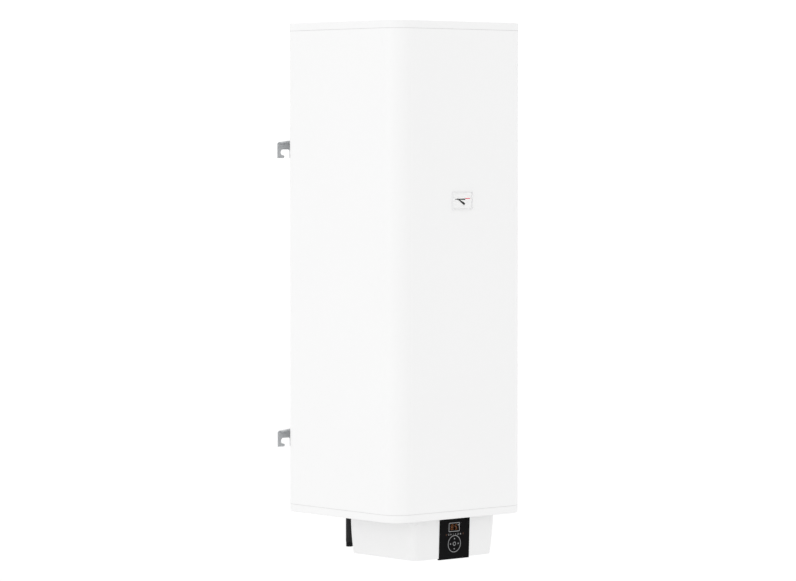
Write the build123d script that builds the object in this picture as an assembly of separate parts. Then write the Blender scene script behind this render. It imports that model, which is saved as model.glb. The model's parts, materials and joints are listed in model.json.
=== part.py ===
from build123d import *
import os
from math import asin, atan2, cos, degrees, pi, radians, sin

# A wall-hung electric storage water heater. Millimetres. The origin is the middle of the upper
# wall rail's back face, on the wall plane: +X right, +Y into the wall, +Z up.

# Fits between pieces, and how far a cutting shape runs past what it opens
SNUG = 0.05
EASY = 0.5
OVERCUT = 1.0
CUT_REACH = 5.0

# Body: a square column with rounded corners, between two caps
BODY_SIDE = 510.0
WALL_GAP = 35.0
CORNER_R = 60.0
SEAM_TOP_Z = 347.0
SEAM_BOTTOM_Z = -1043.6
TOP_CAP_H = 22.5
BOTTOM_CAP_H = 22.6
SEAM_WIDTH = 1.0
JACKET_T = 0.8
CAP_T = 2.5
CAP_EDGE_R = 4.0
SKIRT_INSET = 1.2
SKIRT_T = 2.0
SKIRT_DEPTH = 12.0
SEAL_RECESS = 0.6
FLANGE_HOLE_R = 91.0
FOAM_GAP = 0.3
SCREW_ROOM = 12.0
SCREW_ROOM_R = 3.0

BACK_Y = -WALL_GAP
FRONT_Y = BACK_Y - BODY_SIDE
MID_Y = (BACK_Y + FRONT_Y) / 2
BODY_TOP_Z = SEAM_TOP_Z + TOP_CAP_H
BODY_BOTTOM_Z = SEAM_BOTTOM_Z - BOTTOM_CAP_H

# Pressure tank
TANK_R = 220.0
TANK_T = 2.5
BARREL_BOTTOM_Z = -960.0
BARREL_TOP_Z = 270.0
DISH_CROWN_R = 600.0
DISH_KNUCKLE_R = 35.0

# Flange neck, in front of the tank's axis so that it opens inside the lower cover
NECK_Y = MID_Y - 60.0
NECK_R = 70.0
NECK_BORE_R = 60.0
RING_R = 88.0
RING_TOP_Z = -1074.0
RING_BOTTOM_Z = -1084.0
GASKET_T = 3.0
PLATE_T = 6.0
PLATE_TOP_Z = RING_BOTTOM_Z - GASKET_T
PLATE_BOTTOM_Z = PLATE_TOP_Z - PLATE_T
STUD_COUNT = 6
STUD_PCD_R = 75.0
STUD_R = 5.0
STUD_END_Z = -1108.0
NUT_H = 8.0
NUT_CORNER_R = 9.8
GASKET_BORE_R = 57.0

# What stands on the flange plate
ELEMENT_COUNT = 3
ELEMENT_RING_R = 32.0
ELEMENT_ROD_R = 4.25
ELEMENT_LEG_GAP = 22.0
ELEMENT_BEND_R = 10.5
ELEMENT_TOP_Z = -660.0
ELEMENT_END_Z = PLATE_BOTTOM_Z - 3.0
BUSH_H = 6.0
PIN_R = 1.5
PIN_END_Z = -1118.0
ANODE_R = 13.0
ANODE_BOTTOM_Z = -1083.0
ANODE_TOP_Z = -620.0
ANODE_STUD_R = 4.0
ANODE_STUD_END_Z = -1112.0
ANODE_STUD_TOP_Z = -1060.0
ANODE_HOLE_R = 6.0
ANODE_BUSH_R = 5.9
ANODE_COLLAR_R = 11.0
ANODE_WASHER_R = 9.0
ANODE_WASHER_T = 2.0
ANODE_BUSH_BORE_R = 4.1
ANODE_NUT_H = 6.5
ANODE_NUT_CORNER_R = 7.5
POCKET_X = -34.0
POCKET_Y = NECK_Y + 20.0
POCKET_R = 5.0
POCKET_TOP_Z = -800.0
POCKET_END_Z = -1098.0
POCKET_WALL = 1.0
POCKET_TIP_T = 2.0
SENSOR_TIP_GAP = 4.0
SENSOR_R = 3.8
SENSOR_END_Z = -1110.0

# Water pipes: steel tube with a G 1/2 thread at the lower end
PIPE_X = 100.0
PIPE_Y = MID_Y + 130.0
PIPE_R = 10.65
PIPE_BORE_R = 8.0
THREAD_R = 10.4775
THREAD_LENGTH = 16.0
THREAD_CHAMFER = 1.0
PIPE_END_Z = -1174.0
COLD_PIPE_TOP_Z = -978.0
HOT_PIPE_TOP_Z = 285.0
DIFFUSER_R = 14.0
DIFFUSER_BOTTOM_Z = -990.0
DIFFUSER_TOP_Z = -958.0
DIFFUSER_LID_T = 3.0
DIFFUSER_SLIT_HALF_W = 5.0
DIFFUSER_SLIT_SILL = 2.0
DIFFUSER_SLIT_HEAD = 5.0
GROMMET_R = 15.0
GROMMET_BOTTOM_Z = BODY_BOTTOM_Z - 2.0

# Thermometer on the front of the casing
GAUGE_X = 1.5
GAUGE_Z = -146.7
GAUGE_W = 77.0
GAUGE_H = 50.5
GAUGE_PROUD = 3.5
GAUGE_WALL = 1.5
GAUGE_BACK_T = 0.8
DIAL_T = 0.4
LENS_T = 0.8
NEEDLE_X = 5.8
NEEDLE_Z = -155.0
NEEDLE_LENGTH = 28.0
NEEDLE_TAIL = 4.5
NEEDLE_REST_DEG = 149.0
NEEDLE_Y = -546.7
NEEDLE_T = 0.5
SPINDLE_R = 1.0
SPINDLE_CLEARANCE = 0.05
SPINDLE_END_Y = -539.0
GAUGE_CAN_R = 13.5
GAUGE_CAN_END_Y = -525.0
GAUGE_HOLE_R = 16.0
GAUGE_CORNER_R = 1.0
GAUGE_COLLAR_R = 15.6
GAUGE_COLLAR_BORE_R = 13.9
GAUGE_COLLAR_L = 4.0
DIAL_GAP = 0.2
DIAL_HOLE_R = 1.6
LENS_GAP = 0.1
NEEDLE_TAIL_HALF_W = 2.4
NEEDLE_HUB_HALF_W = 3.2
NEEDLE_TIP_HALF_W = 0.9
HUB_R = 3.2
HUB_PROUD = 0.2
CAPILLARY_R = 1.0
CAPILLARY_BEND = 12.0
CAPILLARY_DROP = 60.0
CAPILLARY_RUN_IN = 40.0
CAPILLARY_CHANNEL = 1.0
GAUGE_ROOM = 2.0
BULB_X = 30.0
BULB_Y = -513.0
BULB_R = 4.0
BULB_TOP_Z = -290.0
BULB_LENGTH = 60.0

# Lower cover: a plastic tray under the body, with sides that curve inwards
COVER_TOP_Z = BODY_BOTTOM_Z - 0.3
COVER_BOTTOM_Z = -1183.6
COVER_TOP_HALF_W = 161.0
COVER_MID_HALF_W = 158.0
COVER_BOTTOM_HALF_W = 150.0
COVER_MID_Z = -1125.0
COVER_FRONT_TOP_Y = -515.0
COVER_FRONT_BOTTOM_Y = -511.0
COVER_BACK_Y = -239.0
COVER_CORNER_R = 18.0
COVER_EDGE_R = 2.5
COVER_T = 2.6
TAB_X = 110.0
TAB_W = 20.0
TAB_DEPTH = 14.0
TAB_T = 3.7
SCREW_R = 2.0
SCREW_HEAD_R = 4.0
SCREW_HEAD_H = 3.0
SCREW_HEAD_EDGE_R = 1.2
SCREW_SLOT_HALF_W = 0.5
SCREW_SLOT_DEPTH = 1.2
SCREW_GRIP = 10.0
TAB_HOLE_GAP = 0.2
BED_GAP = 0.3
ELECTRONICS_DEPTH = 8.0

# Control panel, laid on the leaning front of the cover. Its own frame has its origin at the
# cover's front top edge, Y into the cover and Z up the face.
PANEL_LEAN = degrees(
    atan2(COVER_FRONT_BOTTOM_Y - COVER_FRONT_TOP_Y, COVER_TOP_Z - COVER_BOTTOM_Z)
)
PANEL_PLACE = Location((0, COVER_FRONT_TOP_Y, COVER_TOP_Z), (PANEL_LEAN, 0, 0))
PANEL_HALF_W = 58.0
PANEL_PROUD = 1.2
PANEL_SUNK = 1.8
PANEL_TOP = -0.6
PANEL_BOTTOM = -120.9
PANEL_LIP_TOP = -117.9
PANEL_LIP_DEPTH = 5.5
ELECTRONICS_HALF_W = 46.0
ELECTRONICS_TOP = -6.0
ELECTRONICS_BOTTOM = -113.0
WINDOW_W = 45.0
WINDOW_H = 26.0
WINDOW_Z = -28.4
WINDOW_FIT = 0.15
MODULE_W = 40.0
MODULE_H = 22.0
KEYPAD_Z = -76.7
KEY_RING_R = 15.0
KEY_R = 5.5
CENTRE_KEY_R = 7.5
KEY_FIT = 0.25
KEY_PROUD = 0.05
KEY_FLANGE = 0.7
KEY_FLANGE_FRONT = 2.1
KEY_FLANGE_T = 1.2
KEY_STEM_R = 2.0
KEY_STEM_END = 6.0
MODULE_GAP = 0.6
SWITCH_PLUNGER_R = 1.7
SWITCH_PLUNGER_L = 1.0
SWITCH_FRONT = 6.9
SWITCH_SIDE = 6.0
BOARD_FRONT = 11.4
BOARD_T = 1.6
POST_X = 40.0
POST_TOP = -12.0
POST_BOTTOM = -107.0
POST_R = 3.5
BOARD_SIDE_GAP = 2.0
BOARD_END_GAP = 1.0

# Electrics under the bottom cap
BRACKET_X = -128.0
BRACKET_Y0 = -430.0
BRACKET_Y1 = -320.0
BRACKET_BOTTOM_Z = -1165.0
SHEET_T = 1.5
BRACKET_FOOT_W = 28.0
SPACER_L = 5.0
SPACER_R = 3.0
BOARD_MARGIN = 5.0
BOARD_TOP_MARGIN = 8.0
SPACER_MARGIN = 10.0
SPACER_TOP_MARGIN = 13.0
RELAY_PITCH = 30.0
RELAY_W = 20.0
RELAY_DEPTH = 16.0
RELAY_BOTTOM_Z = -1150.0
RELAY_TOP_Z = -1122.0
TERMINAL_X0 = 105.0
TERMINAL_X1 = 147.0
TERMINAL_Y0 = -312.0
TERMINAL_Y1 = -288.0
TERMINAL_H = 20.0
TERMINAL_COUNT = 3
TERMINAL_FIRST_X = 113.0
TERMINAL_PITCH = 13.0
WIRE_HOLE_R = 2.5
WIRE_HOLE_DROP = 11.0
WIRE_HOLE_END_Y = -300.0
CLAMP_HOLE_R = 2.0
CLAMP_HOLE_L = 6.0
CUTOUT_HALF_W = 18.0
CUTOUT_HALF_D = 15.0
CUTOUT_BORE_L = 14.0
CUTOUT_X = -125.0
CUTOUT_Y = -280.0
CUTOUT_BOTTOM_Z = -1092.0
RESET_R = 3.0
RESET_PROUD = 5.0
RESET_FIT = 0.2
RESET_SUNK = 10.0
RESET_EDGE_R = 0.8
GLAND_X = 60.0
GLAND_Z = -1125.0
GLAND_BORE_R = 5.25
GLAND_THREAD_R = 9.9
GLAND_CORNER_R = 14.0
GLAND_INNER_Y = -258.0
GLAND_OUTER_Y = -213.0
GLAND_HEX_L = 9.0
GLAND_DOME_R = 11.0
GLAND_DOME_CHAMFER = 3.0
GLAND_HOLE_GAP = 0.1
GLAND_NUT_L = 5.0
LEAD_R = 1.4
LEAD_BEND = 6.0
LEAD_RUN_OUT = 12.0
LEAD_FIRST_Z = -1136.0
LEAD_STEP = 4.0
LEAD_DROP = 6.0
SENSOR_LEAD_R = 1.0
SENSOR_LEAD_Z = -1100.0
SENSOR_LEAD_RUN_OUT = 14.0
SENSOR_LEAD_DROP = 22.0
SENSOR_LEAD_MARGIN = 8.0

# Wall rails: folded zinc-plated steel, each with a hook at both ends
RAIL_SPACING = 855.0
RAIL_HALF_W = 245.0
RAIL_T = 4.0
RAIL_BOTTOM = -25.5
RAIL_END_TOP = 21.0
RAIL_SLOPE = 0.126
RAIL_CROWN_X = 140.0
RAIL_CORNER_R = 7.0
RAIL_FOLD = 18.0
RAIL_BEND_R = 3.5
RAIL_FOLD_START = 9.0
SLOT_OUTER_X = 233.5
SLOT_INNER_X = 197.0
SLOT_CORNER_R = 7.0
LIP_TOP = -17.2
LIP_END_X = 219.5
STANDOFF_X = 80.0
STANDOFF_W = 60.0
STANDOFF_H = 40.0
STANDOFF_T = 4.0
STANDOFF_END_T = 6.0
STANDOFF_FIT = 0.5
STANDOFF_ROOT_Y = MID_Y + 180.0
RAIL_SCREW_X = 16.0
RAIL_SCREW_R = 4.0
RAIL_SCREW_HEAD_R = 7.4
RAIL_SCREW_HEAD_H = 3.4
RAIL_SCREW_SUNK = 0.3
RAIL_SCREW_END_Y = -20.0
RAIL_HOLE_PLAY = 0.2
RECESS_CORNER_R = 2.9
RECESS_DEPTH = 2.2
JOIN = 0.01

PARTS = "parts"
os.makedirs(PARTS, exist_ok=True)


def write(name, shape):
    """Write one node's STEP file."""
    export_step(shape, os.path.join(PARTS, name + ".step"))


def block(x0, x1, y0, y1, z0, z1):
    """A box between two corners."""
    centre = Pos((x0 + x1) / 2, (y0 + y1) / 2, (z0 + z1) / 2)
    return centre * Box(x1 - x0, y1 - y0, z1 - z0)


def upright(radius, x, y, z0, z1):
    """A cylinder along Z."""
    return Pos(x, y, (z0 + z1) / 2) * Cylinder(radius, z1 - z0)


def level(radius, x, z, y0, y1):
    """A cylinder along Y."""
    return Pos(x, (y0 + y1) / 2, z) * Rot(90, 0, 0) * Cylinder(radius, y1 - y0)


def rounded_column(inset, z0, z1):
    """The body's plan, drawn in by a distance all round, between two heights."""
    side = BODY_SIDE - 2 * inset
    plan = RectangleRounded(side, side, CORNER_R - inset)
    return Pos(0, MID_Y, z0) * extrude(plan, z1 - z0)


def tube(radius, points, bend):
    """A round rod along straight runs joined by tangent arcs."""
    path = FilletPolyline(*points, radius=bend)
    return sweep(Plane(origin=path @ 0, z_dir=path % 0) * Circle(radius), path=path)


def end_profile(inset):
    """Half the section of a dished end, a crown arc running into a knuckle arc."""
    radius = TANK_R - inset
    knuckle_x = TANK_R - DISH_KNUCKLE_R
    reach = DISH_CROWN_R - DISH_KNUCKLE_R
    turn = asin(knuckle_x / reach)
    crown_z = -reach * cos(turn)
    crown_r = DISH_CROWN_R - inset
    knuckle_r = DISH_KNUCKLE_R - inset
    mid_knuckle = (pi / 2 + turn) / 2
    joint = (crown_r * sin(turn), crown_z + crown_r * cos(turn))
    return make_face(
        [
            Line((0, 0), (radius, 0)),
            ThreePointArc(
                (radius, 0),
                (knuckle_x + knuckle_r * sin(mid_knuckle), knuckle_r * cos(mid_knuckle)),
                joint,
            ),
            ThreePointArc(
                joint,
                (crown_r * sin(turn / 2), crown_z + crown_r * cos(turn / 2)),
                (0, crown_z + crown_r),
            ),
            Line((0, crown_z + crown_r), (0, 0)),
        ]
    )


def dish(profile, way):
    """A turned profile on the tank's axis: way 1 is the top end, -1 the bottom end."""
    end = revolve(Plane.XZ * profile, Axis.Z)
    if way < 0:
        return Pos(0, MID_Y, BARREL_BOTTOM_Z) * Rot(180, 0, 0) * end
    return Pos(0, MID_Y, BARREL_TOP_Z) * end


def dish_wall(way):
    """The sheet of a dished end."""
    return dish(end_profile(0) - end_profile(TANK_T), way)


def tank_form():
    """The space that the closed tank takes up."""
    barrel = upright(TANK_R, 0, MID_Y, BARREL_BOTTOM_Z, BARREL_TOP_Z)
    return barrel + dish(end_profile(0), 1) + dish(end_profile(0), -1)


def hexagon(corner_r, z0, z1):
    """A hexagonal bar along Z at the origin."""
    return Pos(0, 0, z0) * extrude(RegularPolygon(corner_r, 6), z1 - z0)


def both_sides(shape):
    """A shape and its mirror image across the YZ plane."""
    return [shape, mirror(shape, Plane.YZ)]


def on_panel(shape):
    """Move a shape from the control panel's own frame to its place."""
    return PANEL_PLACE * shape


def rail_heights():
    """Where the upper and the lower wall rail stand."""
    return [0.0, -RAIL_SPACING]


# Casing


def casing_jacket():
    """The painted sheet-steel skin, open at both ends."""
    z0 = SEAM_BOTTOM_Z + SEAM_WIDTH / 2
    z1 = SEAM_TOP_Z - SEAM_WIDTH / 2
    skin = rounded_column(0, z0, z1) - rounded_column(JACKET_T, z0, z1)
    skin -= level(GAUGE_HOLE_R, NEEDLE_X, NEEDLE_Z, FRONT_Y - OVERCUT, FRONT_Y + GAUGE_ROOM)
    for z in rail_heights():
        for x in (-STANDOFF_X, STANDOFF_X):
            half_w = STANDOFF_W / 2 + STANDOFF_FIT
            half_h = STANDOFF_H / 2 + STANDOFF_FIT
            skin -= block(
                x - half_w, x + half_w, BACK_Y - 2 * OVERCUT, BACK_Y + OVERCUT, z - half_h, z + half_h
            )
    return skin


def top_cap():
    """The moulded lid, with a skirt that locates it inside the jacket."""
    rim_z = SEAM_TOP_Z + SEAM_WIDTH / 2
    outside = rounded_column(0, rim_z, BODY_TOP_Z)
    outside = fillet(outside.edges().group_by(Axis.Z)[-1], CAP_EDGE_R)
    skirt = rounded_column(SKIRT_INSET, SEAM_TOP_Z - SKIRT_DEPTH, BODY_TOP_Z - CAP_EDGE_R)
    hollow = rounded_column(SKIRT_INSET + SKIRT_T, SEAM_TOP_Z - SKIRT_DEPTH, BODY_TOP_Z - CAP_T)
    return outside + skirt - hollow


def bottom_cap():
    """The moulded base, open for the flange neck, the two pipes and the cover's screws."""
    rim_z = SEAM_BOTTOM_Z - SEAM_WIDTH / 2
    outside = rounded_column(0, BODY_BOTTOM_Z, rim_z)
    outside = fillet(outside.edges().group_by(Axis.Z)[0], CAP_EDGE_R)
    skirt = rounded_column(SKIRT_INSET, BODY_BOTTOM_Z + CAP_EDGE_R, SEAM_BOTTOM_Z + SKIRT_DEPTH)
    hollow = rounded_column(
        SKIRT_INSET + SKIRT_T, BODY_BOTTOM_Z + CAP_T, SEAM_BOTTOM_Z + SKIRT_DEPTH
    )
    cap = outside + skirt - hollow
    z0 = BODY_BOTTOM_Z - OVERCUT
    z1 = BODY_BOTTOM_Z + CAP_T + OVERCUT
    cap -= upright(FLANGE_HOLE_R, 0, NECK_Y, z0, z1)
    for x in (-PIPE_X, PIPE_X):
        cap -= upright(GROMMET_R, x, PIPE_Y, z0, z1)
    for x in (-TAB_X, TAB_X):
        cap -= upright(SCREW_R + SNUG, x, COVER_BACK_Y + TAB_DEPTH / 2, z0, z1)
    return cap


def seam_seal(z):
    """The soft strip in the joint between the jacket and a cap."""
    z0 = z - SEAM_WIDTH / 2
    z1 = z + SEAM_WIDTH / 2
    return rounded_column(SEAL_RECESS, z0, z1) - rounded_column(SKIRT_INSET, z0, z1)


def insulation_foam():
    """The rigid foam that fills the casing around the tank."""
    main = rounded_column(JACKET_T, SEAM_BOTTOM_Z + SKIRT_DEPTH, SEAM_TOP_Z - SKIRT_DEPTH)
    ends = rounded_column(SKIRT_INSET + SKIRT_T, BODY_BOTTOM_Z + CAP_T, BODY_TOP_Z - CAP_T)
    foam = main + ends - tank_form()
    foam -= upright(NECK_R + EASY, 0, NECK_Y, BODY_BOTTOM_Z, BARREL_BOTTOM_Z)
    for x in (-PIPE_X, PIPE_X):
        foam -= upright(PIPE_R + FOAM_GAP, x, PIPE_Y, BODY_BOTTOM_Z, BARREL_BOTTOM_Z)
    for x in (-TAB_X, TAB_X):
        y = COVER_BACK_Y + TAB_DEPTH / 2
        foam -= upright(SCREW_ROOM_R, x, y, BODY_BOTTOM_Z, BODY_BOTTOM_Z + CAP_T + SCREW_ROOM)
    for z in rail_heights():
        for x in (-STANDOFF_X, STANDOFF_X):
            half_w = STANDOFF_W / 2
            half_h = STANDOFF_H / 2
            foam -= block(x - half_w, x + half_w, STANDOFF_ROOT_Y, BACK_Y, z - half_h, z + half_h)
    works_end = GAUGE_CAN_END_Y + GAUGE_ROOM
    foam -= level(GAUGE_HOLE_R + FOAM_GAP, NEEDLE_X, NEEDLE_Z, FRONT_Y, works_end)
    foam -= tube(CAPILLARY_R + CAPILLARY_CHANNEL, capillary_route(), CAPILLARY_BEND)
    bulb_end = BULB_TOP_Z - BULB_LENGTH - OVERCUT
    foam -= upright(BULB_R + FOAM_GAP, BULB_X, BULB_Y, bulb_end, BULB_TOP_Z + OVERCUT)
    return foam


# Tank


def tank_barrel():
    """The rolled and welded enamelled steel barrel."""
    outer = upright(TANK_R, 0, MID_Y, BARREL_BOTTOM_Z, BARREL_TOP_Z)
    return outer - upright(TANK_R - TANK_T, 0, MID_Y, BARREL_BOTTOM_Z, BARREL_TOP_Z)


def tank_top_end():
    """The dished top end, welded to the barrel."""
    return dish_wall(1)


def tank_bottom_end():
    """The dished bottom end, open for the flange neck and the pipes."""
    end = dish_wall(-1)
    z0 = BODY_BOTTOM_Z
    end -= upright(NECK_BORE_R, 0, NECK_Y, z0, BARREL_BOTTOM_Z)
    for x in (-PIPE_X, PIPE_X):
        end -= upright(PIPE_R + SNUG, x, PIPE_Y, z0, BARREL_BOTTOM_Z)
    return end


def flange_neck():
    """The neck welded over the hole in the bottom end, with its bolting ring."""
    neck = upright(NECK_R, 0, NECK_Y, RING_BOTTOM_Z, BARREL_BOTTOM_Z) - tank_form()
    neck += upright(RING_R, 0, NECK_Y, RING_BOTTOM_Z, RING_TOP_Z)
    return neck - upright(NECK_BORE_R, 0, NECK_Y, RING_BOTTOM_Z, BARREL_BOTTOM_Z)


def stud_places():
    """The axes of the studs round the flange neck."""
    turn = 360 / STUD_COUNT
    angles = [radians(turn * (i + 0.5)) for i in range(STUD_COUNT)]
    return [(STUD_PCD_R * cos(a), NECK_Y + STUD_PCD_R * sin(a)) for a in angles]


def flange_gasket():
    """The flat rubber ring between the neck and the flange plate."""
    ring = upright(RING_R, 0, NECK_Y, PLATE_TOP_Z, RING_BOTTOM_Z)
    ring -= upright(GASKET_BORE_R, 0, NECK_Y, PLATE_TOP_Z, RING_BOTTOM_Z)
    for x, y in stud_places():
        ring -= upright(STUD_R + EASY, x, y, PLATE_TOP_Z, RING_BOTTOM_Z)
    return ring


def element_places():
    """Each heating element's middle and the turn of its two legs."""
    turn = 360 / ELEMENT_COUNT
    return [Pos(0, NECK_Y, 0) * Rot(0, 0, turn * i) for i in range(ELEMENT_COUNT)]


def leg_places():
    """Both legs of every heating element."""
    places = []
    for place in element_places():
        for side in (-0.5, 0.5):
            places.append(place * Pos(side * ELEMENT_LEG_GAP, ELEMENT_RING_R, 0))
    return places


def flange_plate():
    """The steel plate that carries the elements, the anode and the sensor pocket."""
    plate = upright(RING_R, 0, NECK_Y, PLATE_BOTTOM_Z, PLATE_TOP_Z)
    for x, y in stud_places():
        plate -= upright(STUD_R + EASY, x, y, PLATE_BOTTOM_Z, PLATE_TOP_Z)
    for place in leg_places():
        plate -= place * upright(ELEMENT_ROD_R + SNUG, 0, 0, PLATE_BOTTOM_Z, PLATE_TOP_Z)
    plate -= upright(ANODE_HOLE_R, 0, NECK_Y, PLATE_BOTTOM_Z, PLATE_TOP_Z)
    plate -= upright(POCKET_R + SNUG, POCKET_X, POCKET_Y, PLATE_BOTTOM_Z, PLATE_TOP_Z)
    return plate


def flange_studs():
    """Six studs welded to the neck's ring."""
    return Compound([upright(STUD_R, x, y, STUD_END_Z, RING_BOTTOM_Z) for x, y in stud_places()])


def flange_nuts():
    """Six hexagon nuts that clamp the flange plate."""
    nut = hexagon(NUT_CORNER_R, PLATE_BOTTOM_Z - NUT_H, PLATE_BOTTOM_Z)
    nut -= upright(STUD_R + SNUG, 0, 0, PLATE_BOTTOM_Z - NUT_H, PLATE_BOTTOM_Z)
    return Compound([Pos(x, y, 0) * nut for x, y in stud_places()])


def heating_elements():
    """Three hairpin elements brazed into the flange plate."""
    half = ELEMENT_LEG_GAP / 2
    y = ELEMENT_RING_R
    route = [
        (-half, y, ELEMENT_END_Z),
        (-half, y, ELEMENT_TOP_Z),
        (half, y, ELEMENT_TOP_Z),
        (half, y, ELEMENT_END_Z),
    ]
    hairpin = tube(ELEMENT_ROD_R, route, ELEMENT_BEND_R)
    return Compound([place * hairpin for place in element_places()])


def element_bushings():
    """The ceramic bushes that close the ends of the elements."""
    z0 = ELEMENT_END_Z - BUSH_H
    bush = upright(ELEMENT_ROD_R, 0, 0, z0, ELEMENT_END_Z)
    bush -= upright(PIN_R + SNUG, 0, 0, z0, ELEMENT_END_Z)
    return Compound([place * bush for place in leg_places()])


def element_pins():
    """The terminal pins that stand out of the bushes."""
    pin = upright(PIN_R, 0, 0, PIN_END_Z, ELEMENT_END_Z)
    return Compound([place * pin for place in leg_places()])


def anode_rod():
    """The magnesium anode, drilled for its stud."""
    rod = upright(ANODE_R, 0, NECK_Y, ANODE_BOTTOM_Z, ANODE_TOP_Z)
    return rod - upright(ANODE_STUD_R + SNUG, 0, NECK_Y, ANODE_BOTTOM_Z, ANODE_STUD_TOP_Z)


def anode_stud():
    """The threaded steel core of the anode."""
    return upright(ANODE_STUD_R, 0, NECK_Y, ANODE_STUD_END_Z, ANODE_STUD_TOP_Z)


def anode_bushings():
    """The insulating bush above the plate and the insulating washer under it."""
    upper = upright(ANODE_BUSH_R, 0, NECK_Y, PLATE_BOTTOM_Z, PLATE_TOP_Z)
    upper += upright(ANODE_COLLAR_R, 0, NECK_Y, PLATE_TOP_Z, ANODE_BOTTOM_Z)
    upper -= upright(ANODE_BUSH_BORE_R, 0, NECK_Y, PLATE_BOTTOM_Z, ANODE_BOTTOM_Z)
    z0 = PLATE_BOTTOM_Z - ANODE_WASHER_T
    washer = upright(ANODE_WASHER_R, 0, NECK_Y, z0, PLATE_BOTTOM_Z)
    washer -= upright(ANODE_BUSH_BORE_R, 0, NECK_Y, z0, PLATE_BOTTOM_Z)
    return Compound([upper, washer])


def anode_nut():
    """The nut that pulls the anode against its bush."""
    z1 = PLATE_BOTTOM_Z - ANODE_WASHER_T
    z0 = z1 - ANODE_NUT_H
    nut = hexagon(ANODE_NUT_CORNER_R, z0, z1) - upright(ANODE_STUD_R + SNUG, 0, 0, z0, z1)
    return Pos(0, NECK_Y, 0) * nut


def sensor_pocket():
    """The closed tube that keeps the sensor dry."""
    outer = upright(POCKET_R, POCKET_X, POCKET_Y, POCKET_END_Z, POCKET_TOP_Z)
    bore_top = POCKET_TOP_Z - POCKET_TIP_T
    return outer - upright(POCKET_R - POCKET_WALL, POCKET_X, POCKET_Y, POCKET_END_Z, bore_top)


def temperature_sensor():
    """The sensor rod inside the pocket."""
    return upright(SENSOR_R, POCKET_X, POCKET_Y, SENSOR_END_Z, POCKET_TOP_Z - SENSOR_TIP_GAP)


# Water connections


def water_pipe(x, top_z):
    """A steel tube through the bottom end, with a chamfered thread at its open end."""
    thread_top = PIPE_END_Z + THREAD_LENGTH
    thread = upright(THREAD_R, x, PIPE_Y, PIPE_END_Z, thread_top)
    thread = chamfer(thread.edges().group_by(Axis.Z)[0], THREAD_CHAMFER)
    pipe = upright(PIPE_R, x, PIPE_Y, thread_top, top_z) + thread
    return pipe - upright(PIPE_BORE_R, x, PIPE_Y, PIPE_END_Z, top_z)


def inlet_diffuser():
    """The cap over the cold inlet that turns the water sideways through four windows."""
    cup = upright(DIFFUSER_R, PIPE_X, PIPE_Y, DIFFUSER_BOTTOM_Z, DIFFUSER_TOP_Z)
    lid_z = DIFFUSER_TOP_Z - DIFFUSER_LID_T
    cup -= upright(PIPE_R + SNUG, PIPE_X, PIPE_Y, DIFFUSER_BOTTOM_Z, lid_z)
    z0 = COLD_PIPE_TOP_Z + DIFFUSER_SLIT_SILL
    z1 = DIFFUSER_TOP_Z - DIFFUSER_SLIT_HEAD
    reach = DIFFUSER_R + OVERCUT
    half = DIFFUSER_SLIT_HALF_W
    cup -= block(PIPE_X - reach, PIPE_X + reach, PIPE_Y - half, PIPE_Y + half, z0, z1)
    cup -= block(PIPE_X - half, PIPE_X + half, PIPE_Y - reach, PIPE_Y + reach, z0, z1)
    return cup


def pipe_grommets():
    """The rubber rings that seal the pipes in the bottom cap."""
    z1 = BODY_BOTTOM_Z + CAP_T
    ring = upright(GROMMET_R, PIPE_X, PIPE_Y, GROMMET_BOTTOM_Z, z1)
    ring -= upright(PIPE_R + SNUG, PIPE_X, PIPE_Y, GROMMET_BOTTOM_Z, z1)
    return Compound(both_sides(ring))


# Thermometer


def gauge_slab(inset, y0, y1):
    """A plate of the thermometer's outline, drawn in by a distance."""
    half_w = GAUGE_W / 2 - inset
    half_h = GAUGE_H / 2 - inset
    return block(GAUGE_X - half_w, GAUGE_X + half_w, y0, y1, GAUGE_Z - half_h, GAUGE_Z + half_h)


def thermometer_bezel():
    """The white tray on the casing, with a collar through the jacket's hole."""
    front = FRONT_Y - GAUGE_PROUD
    tray = gauge_slab(0, front, FRONT_Y)
    tray = fillet(tray.edges().filter_by(Axis.Y), GAUGE_CORNER_R)
    tray -= gauge_slab(GAUGE_WALL, front, FRONT_Y - GAUGE_BACK_T)
    tray -= level(DIAL_HOLE_R, NEEDLE_X, NEEDLE_Z, front, FRONT_Y)
    collar_end = FRONT_Y + GAUGE_COLLAR_L
    collar = level(GAUGE_COLLAR_R, NEEDLE_X, NEEDLE_Z, FRONT_Y, collar_end)
    collar -= level(GAUGE_COLLAR_BORE_R, NEEDLE_X, NEEDLE_Z, FRONT_Y, collar_end)
    return tray + collar


def thermometer_dial():
    """The printed face in the bottom of the tray."""
    y1 = FRONT_Y - GAUGE_BACK_T
    face = gauge_slab(GAUGE_WALL + DIAL_GAP, y1 - DIAL_T, y1)
    return face - level(DIAL_HOLE_R, NEEDLE_X, NEEDLE_Z, y1 - OVERCUT, y1 + OVERCUT)


def thermometer_lens():
    """The clear window that closes the tray."""
    y0 = FRONT_Y - GAUGE_PROUD + LENS_GAP
    return gauge_slab(GAUGE_WALL + LENS_GAP, y0, y0 + LENS_T)


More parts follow.
